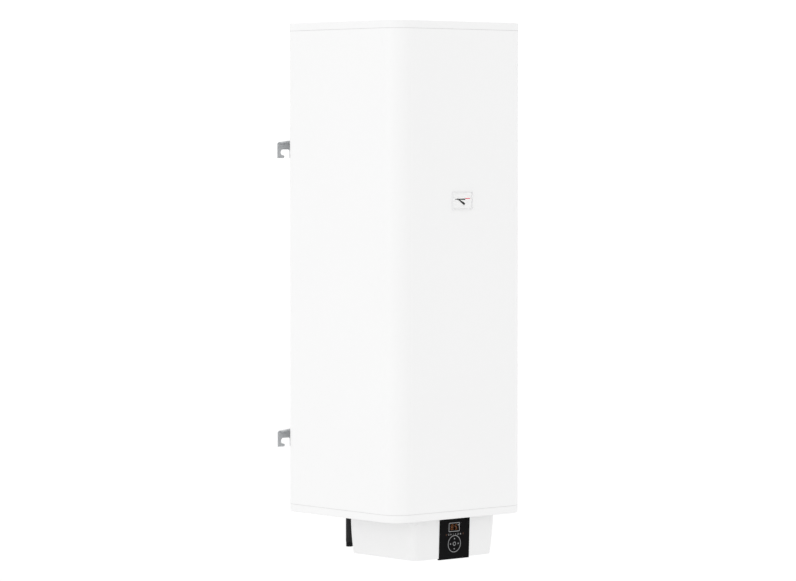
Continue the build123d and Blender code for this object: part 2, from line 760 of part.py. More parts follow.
def thermometer_needle():
    """The tapered needle with its hub and spindle, at the cold end of its sweep."""
    blade = make_face(
        Polyline(
            (-NEEDLE_TAIL, -NEEDLE_TAIL_HALF_W),
            (0, -NEEDLE_HUB_HALF_W),
            (NEEDLE_LENGTH, -NEEDLE_TIP_HALF_W),
            (NEEDLE_LENGTH, NEEDLE_TIP_HALF_W),
            (0, NEEDLE_HUB_HALF_W),
            (-NEEDLE_TAIL, NEEDLE_TAIL_HALF_W),
            close=True,
        )
    )
    blade = Plane.XZ * Rot(0, 0, NEEDLE_REST_DEG) * extrude(blade, NEEDLE_T)
    blade = Pos(NEEDLE_X, NEEDLE_Y, NEEDLE_Z) * blade
    hub_front = NEEDLE_Y - NEEDLE_T - HUB_PROUD
    hub = level(HUB_R, NEEDLE_X, NEEDLE_Z, hub_front, NEEDLE_Y + HUB_PROUD)
    spindle = level(SPINDLE_R, NEEDLE_X, NEEDLE_Z, NEEDLE_Y, SPINDLE_END_Y)
    return blade + hub + spindle


def thermometer_gauge():
    """The round works behind the tray, bored for the spindle."""
    can = level(GAUGE_CAN_R, NEEDLE_X, NEEDLE_Z, FRONT_Y, GAUGE_CAN_END_Y)
    return can - level(
        SPINDLE_R + SPINDLE_CLEARANCE, NEEDLE_X, NEEDLE_Z, FRONT_Y, SPINDLE_END_Y + OVERCUT
    )


def capillary_route():
    """From the underside of the works down to the bulb."""
    y = (FRONT_Y + GAUGE_CAN_END_Y) / 2
    return [
        (NEEDLE_X, y, NEEDLE_Z - GAUGE_CAN_R),
        (NEEDLE_X, y, NEEDLE_Z - CAPILLARY_DROP),
        (BULB_X, BULB_Y, BULB_TOP_Z + CAPILLARY_RUN_IN),
        (BULB_X, BULB_Y, BULB_TOP_Z),
    ]


def thermometer_bulb():
    """The sensing bulb, laid along the front of the tank."""
    return upright(BULB_R, BULB_X, BULB_Y, BULB_TOP_Z - BULB_LENGTH, BULB_TOP_Z)


# Lower cover and control panel


def cover_form(inset):
    """The cover's outside shape, drawn in by a distance on every side but the top."""
    z0 = COVER_BOTTOM_Z + inset
    mid = COVER_MID_HALF_W - inset
    foot = COVER_BOTTOM_HALF_W - inset
    head = COVER_TOP_HALF_W - inset
    outline = make_face(
        [
            Line((-foot, z0), (foot, z0)),
            ThreePointArc((foot, z0), (mid, COVER_MID_Z), (head, COVER_TOP_Z)),
            Line((head, COVER_TOP_Z), (-head, COVER_TOP_Z)),
            ThreePointArc((-head, COVER_TOP_Z), (-mid, COVER_MID_Z), (-foot, z0)),
        ]
    )
    back = COVER_BACK_Y - inset
    bar = Pos(0, back, 0) * extrude(Plane.XZ * outline, back - COVER_FRONT_TOP_Y + 10)
    form = bar - on_panel(block(-200, 200, -40, inset, -160, 40))
    corners = form.edges().filter_by(lambda e: abs(e.tangent_at(0.5).Z) > 0.9)
    return fillet(corners.group_by(Axis.Y)[0], COVER_CORNER_R - inset)


def lower_cover():
    """The white tray under the body, with a sunk bed for the panel and two screw tabs."""
    cover = cover_form(0)
    cover = fillet(cover.faces().sort_by(Axis.Z)[0].edges(), COVER_EDGE_R)
    cover -= cover_form(COVER_T)
    bed = PANEL_HALF_W + BED_GAP
    foot = PANEL_BOTTOM - CUT_REACH
    cover -= on_panel(block(-bed, bed, -CUT_REACH, PANEL_SUNK, foot, CUT_REACH))
    half = ELECTRONICS_HALF_W
    cover -= on_panel(
        block(-half, half, -CUT_REACH, ELECTRONICS_DEPTH, ELECTRONICS_BOTTOM, ELECTRONICS_TOP)
    )
    hole_r = GLAND_THREAD_R + GLAND_HOLE_GAP
    inner_y = COVER_BACK_Y - CUT_REACH
    cover -= level(hole_r, GLAND_X, GLAND_Z, inner_y, COVER_BACK_Y + CUT_REACH)
    tab_z = COVER_TOP_Z - TAB_T
    y1 = COVER_BACK_Y + TAB_DEPTH
    tab = block(
        TAB_X - TAB_W / 2, TAB_X + TAB_W / 2, COVER_BACK_Y - OVERCUT, y1, tab_z, COVER_TOP_Z
    )
    tab -= upright(SCREW_R + TAB_HOLE_GAP, TAB_X, COVER_BACK_Y + TAB_DEPTH / 2, tab_z, COVER_TOP_Z)
    for side in both_sides(tab):
        cover += side
    return cover


def cover_screws():
    """Two pan-head screws that hold the cover to the bottom cap."""
    y = COVER_BACK_Y + TAB_DEPTH / 2
    head_top = COVER_TOP_Z - TAB_T
    screw = upright(SCREW_R, TAB_X, y, head_top, BODY_BOTTOM_Z + CAP_T + SCREW_GRIP)
    head = upright(SCREW_HEAD_R, TAB_X, y, head_top - SCREW_HEAD_H, head_top)
    head = fillet(head.edges().group_by(Axis.Z)[0], SCREW_HEAD_EDGE_R)
    slot = block(
        TAB_X - SCREW_HEAD_R, TAB_X + SCREW_HEAD_R, y - SCREW_SLOT_HALF_W, y + SCREW_SLOT_HALF_W,
        head_top - SCREW_HEAD_H, head_top - SCREW_HEAD_H + SCREW_SLOT_DEPTH,
    )
    return Compound(both_sides(screw + head - slot))


def key_places():
    """Each key's name, place on the panel and radius."""
    r = KEY_RING_R
    return [
        ("key_up", 0, r, KEY_R),
        ("key_down", 0, -r, KEY_R),
        ("key_left", -r, 0, KEY_R),
        ("key_right", r, 0, KEY_R),
        ("key_centre", 0, 0, CENTRE_KEY_R),
    ]


def control_panel():
    """The black front plate, with its hooked lower edge, key holes and board posts."""
    half = PANEL_HALF_W
    plate = block(-half, half, -PANEL_PROUD, PANEL_SUNK, PANEL_BOTTOM, PANEL_TOP)
    plate += block(-half, half, -PANEL_PROUD, PANEL_LIP_DEPTH, PANEL_BOTTOM, PANEL_LIP_TOP)
    half_w = WINDOW_W / 2 + WINDOW_FIT
    half_h = WINDOW_H / 2 + WINDOW_FIT
    plate -= block(-half_w, half_w, -CUT_REACH, CUT_REACH, WINDOW_Z - half_h, WINDOW_Z + half_h)
    for _, x, z, radius in key_places():
        plate -= level(radius + KEY_FIT, x, KEYPAD_Z + z, -CUT_REACH, CUT_REACH)
    for x in (-POST_X, POST_X):
        for z in (POST_TOP, POST_BOTTOM):
            plate += level(POST_R, x, z, PANEL_SUNK, BOARD_FRONT)
    return on_panel(plate)


def display_window():
    """The smoked window let into the panel."""
    half_w = WINDOW_W / 2
    half_h = WINDOW_H / 2
    pane = block(-half_w, half_w, -PANEL_PROUD, PANEL_SUNK, WINDOW_Z - half_h, WINDOW_Z + half_h)
    return on_panel(pane)


def display_module():
    """The digit display behind the window, soldered to the control board."""
    half_w = MODULE_W / 2
    half_h = MODULE_H / 2
    y0 = PANEL_SUNK + MODULE_GAP
    return on_panel(block(-half_w, half_w, y0, BOARD_FRONT, WINDOW_Z - half_h, WINDOW_Z + half_h))


def key(x, z, radius):
    """One key: a cap in the panel's hole, a flange that keeps it in and a stem."""
    z += KEYPAD_Z
    front = -PANEL_PROUD - KEY_PROUD
    flange_back = KEY_FLANGE_FRONT + KEY_FLANGE_T
    cap = level(radius, x, z, front, KEY_FLANGE_FRONT)
    cap += level(radius + KEY_FLANGE, x, z, KEY_FLANGE_FRONT, flange_back)
    return on_panel(cap + level(KEY_STEM_R, x, z, flange_back, KEY_STEM_END))


def key_switches():
    """A tact switch on the board behind each key."""
    switches = []
    half = SWITCH_SIDE / 2
    for _, x, z, _ in key_places():
        z += KEYPAD_Z
        case_front = SWITCH_FRONT + SWITCH_PLUNGER_L
        body = block(x - half, x + half, case_front, BOARD_FRONT, z - half, z + half)
        plunger = level(SWITCH_PLUNGER_R, x, z, SWITCH_FRONT, case_front)
        switches.append(on_panel(body + plunger))
    return Compound(switches)


def control_board():
    """The circuit board behind the panel, on the panel's four posts."""
    half = ELECTRONICS_HALF_W - BOARD_SIDE_GAP
    z0 = ELECTRONICS_BOTTOM + BOARD_END_GAP
    z1 = ELECTRONICS_TOP - BOARD_END_GAP
    board = block(-half, half, BOARD_FRONT, BOARD_FRONT + BOARD_T, z0, z1)
    return on_panel(board)


# Electrics under the bottom cap


def board_bracket():
    """The folded sheet that hangs from the bottom cap and carries the power board."""
    z1 = COVER_TOP_Z
    wall = block(
        BRACKET_X, BRACKET_X + SHEET_T, BRACKET_Y0, BRACKET_Y1, BRACKET_BOTTOM_Z, z1
    )
    foot = block(BRACKET_X, BRACKET_X + BRACKET_FOOT_W, BRACKET_Y0, BRACKET_Y1, z1 - SHEET_T, z1)
    return wall + foot


def power_board():
    """The power circuit board on the bracket, with its spacers."""
    x0 = BRACKET_X + SHEET_T + SPACER_L
    y0 = BRACKET_Y0 + BOARD_MARGIN
    y1 = BRACKET_Y1 - BOARD_MARGIN
    z0 = BRACKET_BOTTOM_Z + BOARD_MARGIN
    board = block(x0, x0 + BOARD_T, y0, y1, z0, COVER_TOP_Z - BOARD_TOP_MARGIN)
    spacer_x0 = BRACKET_X + SHEET_T
    spacer = Rot(0, 90, 0) * Cylinder(SPACER_R, SPACER_L)
    for y in (BRACKET_Y0 + SPACER_MARGIN, BRACKET_Y1 - SPACER_MARGIN):
        for z in (BRACKET_BOTTOM_Z + SPACER_MARGIN, COVER_TOP_Z - SPACER_TOP_MARGIN):
            board += Pos((spacer_x0 + x0) / 2, y, z) * spacer
    return board


def power_relays():
    """Three relays on the power board, one for each heating element."""
    x0 = BRACKET_X + SHEET_T + SPACER_L + BOARD_T
    x1 = x0 + RELAY_DEPTH
    relays = []
    for i in range(ELEMENT_COUNT):
        y0 = BRACKET_Y0 + SPACER_MARGIN + RELAY_PITCH * i
        relays.append(block(x0, x1, y0, y0 + RELAY_W, RELAY_BOTTOM_Z, RELAY_TOP_Z))
    return Compound(relays)


def terminal_block():
    """The mains terminal block on the bottom cap, with its three wire holes."""
    foot_z = COVER_TOP_Z - TERMINAL_H
    body = block(TERMINAL_X0, TERMINAL_X1, TERMINAL_Y0, TERMINAL_Y1, foot_z, COVER_TOP_Z)
    wire_z = COVER_TOP_Z - WIRE_HOLE_DROP
    for i in range(TERMINAL_COUNT):
        x = TERMINAL_FIRST_X + TERMINAL_PITCH * i
        body -= level(WIRE_HOLE_R, x, wire_z, TERMINAL_Y0, WIRE_HOLE_END_Y)
        body -= upright(CLAMP_HOLE_R, x, WIRE_HOLE_END_Y, foot_z, foot_z + CLAMP_HOLE_L)
    return body


def safety_cutout():
    """The resettable over-temperature cut-out, bored for its button."""
    x0 = CUTOUT_X - CUTOUT_HALF_W
    x1 = CUTOUT_X + CUTOUT_HALF_W
    y0 = CUTOUT_Y - CUTOUT_HALF_D
    y1 = CUTOUT_Y + CUTOUT_HALF_D
    body = block(x0, x1, y0, y1, CUTOUT_BOTTOM_Z, COVER_TOP_Z)
    bore_top = CUTOUT_BOTTOM_Z + CUTOUT_BORE_L
    return body - upright(RESET_R + RESET_FIT, CUTOUT_X, CUTOUT_Y, CUTOUT_BOTTOM_Z, bore_top)


def reset_button():
    """The cut-out's button, pushed up to reset it."""
    z0 = CUTOUT_BOTTOM_Z - RESET_PROUD
    button = upright(RESET_R, CUTOUT_X, CUTOUT_Y, z0, CUTOUT_BOTTOM_Z + RESET_SUNK)
    return fillet(button.edges().group_by(Axis.Z)[0], RESET_EDGE_R)


def cable_gland():
    """The cable entry through the cover's back, with its clamping dome."""
    body = level(GLAND_THREAD_R, GLAND_X, GLAND_Z, GLAND_INNER_Y, COVER_BACK_Y)
    place = Pos(GLAND_X, COVER_BACK_Y, GLAND_Z) * Rot(-90, 0, 0)
    body += place * hexagon(GLAND_CORNER_R, 0, GLAND_HEX_L)
    dome = level(GLAND_DOME_R, GLAND_X, GLAND_Z, COVER_BACK_Y + GLAND_HEX_L, GLAND_OUTER_Y)
    body += chamfer(dome.edges().group_by(Axis.Y)[-1], GLAND_DOME_CHAMFER)
    inner_y = GLAND_INNER_Y - OVERCUT
    return body - level(GLAND_BORE_R, GLAND_X, GLAND_Z, inner_y, GLAND_OUTER_Y + OVERCUT)


def gland_nut():
    """The nut that clamps the gland inside the cover."""
    place = Pos(GLAND_X, COVER_BACK_Y - COVER_T - GLAND_NUT_L, GLAND_Z) * Rot(-90, 0, 0)
    nut = hexagon(GLAND_CORNER_R, 0, GLAND_NUT_L)
    nut -= upright(GLAND_THREAD_R + SNUG, 0, 0, 0, GLAND_NUT_L)
    return place * nut


def element_leads():
    """One lead from each relay to its heating element."""
    leads = []
    x0 = BRACKET_X + SHEET_T + SPACER_L + BOARD_T + RELAY_DEPTH
    for i, leg in enumerate(leg_places()[::2]):
        pin = leg.position
        y = BRACKET_Y0 + SPACER_MARGIN + RELAY_W / 2 + RELAY_PITCH * i
        z = LEAD_FIRST_Z - LEAD_STEP * i
        points = [
            (x0, y, z),
            (x0 + LEAD_RUN_OUT, y, z),
            (pin.X, pin.Y, z - LEAD_DROP),
            (pin.X, pin.Y, PIN_END_Z),
        ]
        leads.append(tube(LEAD_R, points, LEAD_BEND))
    return Compound(leads)


def sensor_lead():
    """The thin lead from the sensor to the power board."""
    x0 = BRACKET_X + SHEET_T + SPACER_L + BOARD_T
    y = BRACKET_Y1 - SENSOR_LEAD_MARGIN
    points = [
        (x0, y, SENSOR_LEAD_Z),
        (x0 + SENSOR_LEAD_RUN_OUT, y, SENSOR_LEAD_Z),
        (POCKET_X, POCKET_Y, SENSOR_END_Z - SENSOR_LEAD_DROP),
        (POCKET_X, POCKET_Y, SENSOR_END_Z),
    ]
    return tube(SENSOR_LEAD_R, points, LEAD_BEND)


# Wall rails


def rail_top(x):
    """The height of a rail's sloping top edge at a distance from the middle."""
    return RAIL_END_TOP + RAIL_SLOPE * (RAIL_HALF_W - max(abs(x), RAIL_CROWN_X))


def hook_slot():
    """The right-hand hook's slot, open downwards past its lip."""
    lip_r = (LIP_TOP - RAIL_BOTTOM) / 2
    end_r = -LIP_TOP / 2
    room_x = SLOT_OUTER_X - end_r
    room = Pos((SLOT_INNER_X + room_x) / 2, LIP_TOP / 2) * Rectangle(room_x - SLOT_INNER_X, -LIP_TOP)
    room = fillet(room.vertices().group_by(Axis.X)[0].sort_by(Axis.Y)[-1], SLOT_CORNER_R)
    room += Pos(room_x, LIP_TOP / 2) * Circle(end_r)
    mouth_x = LIP_END_X + lip_r
    mouth_bottom = RAIL_BOTTOM - CUT_REACH
    mouth = Pos((SLOT_INNER_X + mouth_x) / 2, (mouth_bottom + LIP_TOP) / 2) * Rectangle(
        mouth_x - SLOT_INNER_X, LIP_TOP - mouth_bottom
    )
    tip = Pos(mouth_x, (RAIL_BOTTOM + LIP_TOP) / 2) * Circle(lip_r)
    return room + (mouth - tip)


def wall_rail():
    """A rail: a flat web with hooks, folded forwards along its sloping top edge."""
    end = RAIL_HALF_W
    shoulder = end - RAIL_FOLD_START
    outline = make_face(
        Polyline(
            (-end, RAIL_BOTTOM),
            (end, RAIL_BOTTOM),
            (end, RAIL_END_TOP),
            (RAIL_CROWN_X, rail_top(0)),
            (-RAIL_CROWN_X, rail_top(0)),
            (-end, RAIL_END_TOP),
            close=True,
        )
    )
    corners = [v for v in outline.vertices() if abs(v.X) > shoulder and v.Y > 0]
    web = fillet(corners, RAIL_CORNER_R)
    web = web - hook_slot() - mirror(hook_slot(), Plane.YZ)
    rail = extrude(Plane.XZ * web, RAIL_T)
    fold = make_face(
        Polyline(
            (-shoulder, rail_top(shoulder)),
            (-RAIL_CROWN_X, rail_top(0)),
            (RAIL_CROWN_X, rail_top(0)),
            (shoulder, rail_top(shoulder)),
            (shoulder, rail_top(shoulder) - RAIL_T),
            (RAIL_CROWN_X, rail_top(0) - RAIL_T),
            (-RAIL_CROWN_X, rail_top(0) - RAIL_T),
            (-shoulder, rail_top(shoulder) - RAIL_T),
            close=True,
        )
    )
    rail += extrude(Plane.XZ * fold, RAIL_FOLD)
    bends = rail.edges().filter_by(
        lambda e: e.center().Z > RAIL_END_TOP and e.center().Y > -JOIN and e.length > RAIL_FOLD
    )
    rail = fillet(bends, RAIL_BEND_R)
    for x in (-STANDOFF_X, STANDOFF_X):
        for shift in (-RAIL_SCREW_X, RAIL_SCREW_X):
            rail -= Pos(x + shift, 0, 0) * rail_screw(RAIL_HOLE_PLAY)
    return rail


def rail_screw(play):
    """A countersunk screw from the back of a rail, or with play its hole in the rail."""
    top = -RAIL_SCREW_SUNK
    neck = top - RAIL_SCREW_HEAD_H
    cone = Pos(0, (top + neck) / 2, 0) * Rot(90, 0, 0) * Cone(
        RAIL_SCREW_HEAD_R + play, RAIL_SCREW_R + play, RAIL_SCREW_HEAD_H
    )
    shank = level(RAIL_SCREW_R + play, 0, 0, RAIL_SCREW_END_Y, neck + JOIN)
    if play:
        return cone + shank + level(RAIL_SCREW_HEAD_R + play, 0, 0, top - JOIN, OVERCUT)
    recess = Pos(0, top, 0) * Rot(90, 0, 0) * extrude(RegularPolygon(RECESS_CORNER_R, 6), RECESS_DEPTH)
    return cone + shank - recess


def rail_screws():
    """Eight countersunk screws that hold the rails to the stand-offs."""
    screws = []
    for z in rail_heights():
        for x in (-STANDOFF_X, STANDOFF_X):
            for shift in (-RAIL_SCREW_X, RAIL_SCREW_X):
                screws.append(Pos(x + shift, 0, z) * rail_screw(0))
    return Compound(screws)


def rail_standoffs():
    """Four box sections welded to the tank, each closed by a tapped end plate."""
    half_w = STANDOFF_W / 2
    half_h = STANDOFF_H / 2
    y0 = STANDOFF_ROOT_Y
    y1 = -RAIL_T
    box = block(-half_w, half_w, y0, y1, -half_h, half_h)
    box -= block(
        STANDOFF_T - half_w, half_w - STANDOFF_T, y0, y1 - STANDOFF_END_T,
        STANDOFF_T - half_h, half_h - STANDOFF_T,
    )
    for shift in (-RAIL_SCREW_X, RAIL_SCREW_X):
        box -= level(RAIL_SCREW_R + SNUG, shift, 0, y1 - STANDOFF_END_T, y1)
    standoffs = []
    for z in rail_heights():
        for x in (-STANDOFF_X, STANDOFF_X):
            barrel = upright(TANK_R, 0, MID_Y, z - half_h - OVERCUT, z + half_h + OVERCUT)
            standoffs.append(Pos(x, 0, z) * box - barrel)
    return Compound(standoffs)


write("casing_jacket", casing_jacket())
write("top_cap", top_cap())
write("bottom_cap", bottom_cap())
write("top_seam_seal", seam_seal(SEAM_TOP_Z))
write("bottom_seam_seal", seam_seal(SEAM_BOTTOM_Z))
write("insulation_foam", insulation_foam())
write("tank_barrel", tank_barrel())
write("tank_top_end", tank_top_end())
write("tank_bottom_end", tank_bottom_end())
write("flange_neck", flange_neck())
write("flange_gasket", flange_gasket())
write("flange_plate", flange_plate())
write("flange_studs", flange_studs())
write("flange_nuts", flange_nuts())
write("heating_elements", heating_elements())
write("element_bushings", element_bushings())
write("element_pins", element_pins())
write("anode_rod", anode_rod())
write("anode_stud", anode_stud())
write("anode_bushings", anode_bushings())
write("anode_nut", anode_nut())
write("sensor_pocket", sensor_pocket())
write("temperature_sensor", temperature_sensor())
write("hot_water_pipe", water_pipe(-PIPE_X, HOT_PIPE_TOP_Z))
write("cold_water_pipe", water_pipe(PIPE_X, COLD_PIPE_TOP_Z))
write("inlet_diffuser", inlet_diffuser())
write("pipe_grommets", pipe_grommets())
write("thermometer_bezel", thermometer_bezel())
write("thermometer_dial", thermometer_dial())
write("thermometer_lens", thermometer_lens())
write("thermometer_needle", thermometer_needle())
write("thermometer_gauge", thermometer_gauge())
write("thermometer_capillary", tube(CAPILLARY_R, capillary_route(), CAPILLARY_BEND))
write("thermometer_bulb", thermometer_bulb())
write("lower_cover", lower_cover())
write("cover_screws", cover_screws())
write("control_panel", control_panel())
write("display_window", display_window())
write("display_module", display_module())
for node, across, up, size in key_places():
    write(node, key(across, up, size))
write("key_switches", key_switches())
write("control_board", control_board())
write("board_bracket", board_bracket())
write("power_board", power_board())
write("power_relays", power_relays())
write("terminal_block", terminal_block())
write("safety_cutout", safety_cutout())
write("reset_button", reset_button())
write("cable_gland", cable_gland())
write("gland_nut", gland_nut())
write("element_leads", element_leads())
write("sensor_lead", sensor_lead())
for node, height in zip(("upper_wall_rail", "lower_wall_rail"), rail_heights()):
    write(node, Pos(0, 0, height) * wall_rail())
write("rail_standoffs", rail_standoffs())
write("rail_screws", rail_screws())
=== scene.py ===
import json
from math import cos, pi, radians, sin

import bmesh
import bpy
from mathutils import Matrix, Vector


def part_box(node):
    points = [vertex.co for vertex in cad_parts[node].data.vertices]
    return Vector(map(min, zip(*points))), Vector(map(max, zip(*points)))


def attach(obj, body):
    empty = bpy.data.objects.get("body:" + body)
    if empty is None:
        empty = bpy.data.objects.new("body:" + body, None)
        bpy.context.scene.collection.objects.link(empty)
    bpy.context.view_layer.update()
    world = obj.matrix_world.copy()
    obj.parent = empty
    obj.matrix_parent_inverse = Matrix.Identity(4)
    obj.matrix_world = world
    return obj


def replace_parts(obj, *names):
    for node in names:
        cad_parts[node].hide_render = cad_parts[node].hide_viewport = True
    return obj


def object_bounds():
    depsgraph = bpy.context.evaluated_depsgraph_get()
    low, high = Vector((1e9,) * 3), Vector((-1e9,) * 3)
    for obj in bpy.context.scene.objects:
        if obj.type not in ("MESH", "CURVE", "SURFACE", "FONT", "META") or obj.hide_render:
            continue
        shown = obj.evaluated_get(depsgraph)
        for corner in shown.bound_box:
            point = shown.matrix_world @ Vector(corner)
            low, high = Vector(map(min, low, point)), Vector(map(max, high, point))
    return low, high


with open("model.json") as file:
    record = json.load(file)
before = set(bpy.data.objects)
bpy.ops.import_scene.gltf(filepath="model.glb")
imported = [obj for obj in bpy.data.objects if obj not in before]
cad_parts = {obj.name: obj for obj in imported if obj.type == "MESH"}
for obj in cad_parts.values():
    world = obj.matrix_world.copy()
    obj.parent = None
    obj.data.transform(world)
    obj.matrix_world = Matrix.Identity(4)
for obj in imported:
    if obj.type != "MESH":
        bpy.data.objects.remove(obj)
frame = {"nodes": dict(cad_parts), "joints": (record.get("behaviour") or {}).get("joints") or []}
cad_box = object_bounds()
nodes = frame["nodes"]

# Camera. A long lens a little above the middle of the heater's height, on its front left side.
# It leans slightly down and has no shift, so that every other view can reuse it.
VIEW_YAW = radians(40.98)
VIEW_PITCH = radians(2.470)
VIEW_PLACE = (-6.8420, -8.1405, 0.0347)
VIEW_LENS = 160.2
VIEW_SENSOR = 36.0
VIEW_REACH = 200.0
camera_data = bpy.data.cameras.new("camera")
camera_data.lens = VIEW_LENS
camera_data.sensor_width = VIEW_SENSOR
camera_data.clip_end = VIEW_REACH
camera = bpy.data.objects.new("camera", camera_data)
camera.location = VIEW_PLACE
camera.rotation_euler = (pi / 2 - VIEW_PITCH, 0.0, -VIEW_YAW)
bpy.context.scene.collection.objects.link(camera)
bpy.context.scene.camera = camera
bpy.context.scene.view_settings.view_transform = "Standard"

# Studio. A white surround, one broad soft light on the left of the heater, and a pale floor
# well under it, since the heater hangs on a wall. The floor runs out into the surround.
SURROUND_STRENGTH = 1.07
FLOOR_BELOW = 6.0
FLOOR_REACH = 60.0
SOFTBOX_PLACE = (-5.5, -0.9, 0.4)
SOFTBOX_SIZE = 3.0
SOFTBOX_POWER = 21.0
surround = bpy.data.worlds.new("white_surround")
surround.use_nodes = True
surround.node_tree.nodes["Background"].inputs["Color"].default_value = (1, 1, 1, 1)
surround.node_tree.nodes["Background"].inputs["Strength"].default_value = SURROUND_STRENGTH
bpy.context.scene.world = surround


def soft_light(name, place, aim, size, power):
    """A square soft light at a place, turned towards a point."""
    data = bpy.data.lights.new(name, "AREA")
    data.shape = "SQUARE"
    data.size = size
    data.energy = power
    lamp = bpy.data.objects.new(name, data)
    lamp.location = place
    turn = (Vector(aim) - Vector(place)).to_track_quat("-Z", "Y")
    lamp.rotation_euler = turn.to_euler()
    bpy.context.scene.collection.objects.link(lamp)


body_middle = (cad_box[0] + cad_box[1]) / 2
soft_light("left_softbox", SOFTBOX_PLACE, body_middle, SOFTBOX_SIZE, SOFTBOX_POWER)


def tree_of(material):
    """A material's nodes, links and main shader, ready for more nodes."""
    material.use_nodes = True
    tree = material.node_tree
    return tree.nodes, tree.links, tree.nodes["Principled BSDF"]


def grain_at(nodes_, links_, size, detail=4.0, stretch=(1.0, 1.0, 1.0)):
    """Noise whose grains are about a size in metres, fixed to the piece."""
    place = nodes_.new("ShaderNodeTexCoord")
    scale = nodes_.new("ShaderNodeMapping")
    scale.inputs["Scale"].default_value = [s / size for s in stretch]
    noise = nodes_.new("ShaderNodeTexNoise")
    noise.inputs["Scale"].default_value = 1.0
    noise.inputs["Detail"].default_value = detail
    links_.new(place.outputs["Object"], scale.inputs["Vector"])
    links_.new(scale.outputs["Vector"], noise.inputs["Vector"])
    return noise.outputs["Fac"]


def graded(nodes_, links_, factor, low, high, start=0.3, end=0.7):
    """A colour or grey that runs from low to high as a factor runs from start to end."""
    ramp = nodes_.new("ShaderNodeValToRGB")
    ramp.color_ramp.elements[0].position = start
    ramp.color_ramp.elements[1].position = end
    ramp.color_ramp.elements[0].color = (*low, 1.0)
    ramp.color_ramp.elements[1].color = (*high, 1.0)
    links_.new(factor, ramp.inputs["Fac"])
    return ramp.outputs["Color"]


def raised(nodes_, links_, shader, height, depth):
    """Relief of a depth in metres on a shader."""
    bump = nodes_.new("ShaderNodeBump")
    bump.inputs["Strength"].default_value = 1.0
    bump.inputs["Distance"].default_value = depth
    links_.new(height, bump.inputs["Height"])
    links_.new(bump.outputs["Normal"], shader.inputs["Normal"])


def surface(name, colour, rough, patch, grain, relief, tone=0.03, metal=0.0, gloss=0.5,
            rough_swing=0.06, stretch=(1.0, 1.0, 1.0)):
    """A finish with a slow drift in tone, an uneven sheen and a fine relief."""
    material = bpy.data.materials.new(name)
    nodes_, links_, shader = tree_of(material)
    shader.inputs["Metallic"].default_value = metal
    shader.inputs["Specular IOR Level"].default_value = gloss
    drift = grain_at(nodes_, links_, patch, 3.0, stretch)
    fine = grain_at(nodes_, links_, grain, 5.0, stretch)
    low = [c * (1.0 - tone) for c in colour]
    high = [min(1.0, c * (1.0 + tone)) for c in colour]
    links_.new(graded(nodes_, links_, drift, low, high), shader.inputs["Base Color"])
    dull = [rough - rough_swing] * 3
    shiny = [rough + rough_swing] * 3
    links_.new(graded(nodes_, links_, fine, dull, shiny), shader.inputs["Roughness"])
    raised(nodes_, links_, shader, fine, relief)
    return material


def dress(material, *names):
    """Give CAD nodes their finish."""
    for name in names:
        mesh = nodes[name].data
        mesh.materials.clear()
        mesh.materials.append(material)


floor_paint = surface("floor_paint", (0.965, 0.965, 0.965), 0.9, 1.5, 0.02, 0.0001, 0.005)
floor_mesh = bmesh.new()
bmesh.ops.create_grid(floor_mesh, x_segments=8, y_segments=8, size=FLOOR_REACH)
floor_data = bpy.data.meshes.new("floor")
floor_mesh.to_mesh(floor_data)
floor_mesh.free()
floor = bpy.data.objects.new("floor", floor_data)
floor.location = (0.0, 0.0, cad_box[0].z - FLOOR_BELOW)
floor_data.materials.append(floor_paint)
bpy.context.scene.collection.objects.link(floor)

# Pressure tank. A rolled steel barrel with two dished ends, welded round and coated in dark
# enamel paint. The neck that takes the heating flange is welded over a hole in the lower end.
tank_enamel = surface("tank_enamel", (0.1, 0.12, 0.14), 0.42, 0.12, 0.0016, 0.00012, 0.12)
dress(tank_enamel, "tank_barrel", "tank_top_end", "tank_bottom_end", "flange_neck")


def finished(name, mesh, material, body, smooth=35.0):
    """Make a built mesh into a piece of the heater that rides on a body."""
    bmesh.ops.recalc_face_normals(mesh, faces=mesh.faces)
    data = bpy.data.meshes.new(name)
    mesh.to_mesh(data)
    mesh.free()
    data.materials.append(material)
    data.set_sharp_from_angle(angle=radians(smooth))
    for face in data.polygons:
        face.use_smooth = True
    piece = bpy.data.objects.new(name, data)
    bpy.context.scene.collection.objects.link(piece)
    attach(piece, body)
    return piece


def skinned(mesh, rings):
    """Join each closed ring of points to the next one, and the last ring to the first."""
    count = len(rings)
    sides = len(rings[0])
    for i in range(count):
        near = rings[i]
        far = rings[(i + 1) % count]
        for k in range(sides):
            n = (k + 1) % sides
            mesh.faces.new((near[k], near[n], far[n], far[k]))


# Weld beads. A round bead of rippled weld metal runs round the barrel at each dished end, half
# of it standing out of the enamel into the foam.
BEAD_R = 0.0022
BEAD_FLATNESS = 0.6
BEAD_STEPS = 240
BEAD_SIDES = 8
RIPPLES = 60
RIPPLE_DEPTH = 0.12
barrel_low, barrel_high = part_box("tank_barrel")
tank_x = (barrel_low.x + barrel_high.x) / 2
tank_y = (barrel_low.y + barrel_high.y) / 2
tank_r = (barrel_high.x - barrel_low.x) / 2
weld_metal = surface("weld_metal", (0.13, 0.14, 0.15), 0.5, 0.01, 0.0012, 0.0002, 0.15, 0.4)
beads = bmesh.new()
for height in (barrel_low.z, barrel_high.z):
    rings = []
    for i in range(BEAD_STEPS):
        a = 2 * pi * i / BEAD_STEPS
        swell = BEAD_R * (1.0 + RIPPLE_DEPTH * sin(RIPPLES * a))
        ring = []
        for k in range(BEAD_SIDES):
            t = 2 * pi * k / BEAD_SIDES
            r = tank_r + swell * cos(t) * BEAD_FLATNESS
            ring.append(beads.verts.new((
                tank_x + r * cos(a), tank_y + r * sin(a), height + swell * sin(t))))
        rings.append(ring)
    skinned(beads, rings)
finished("tank_weld_beads", beads, weld_metal, "heater")

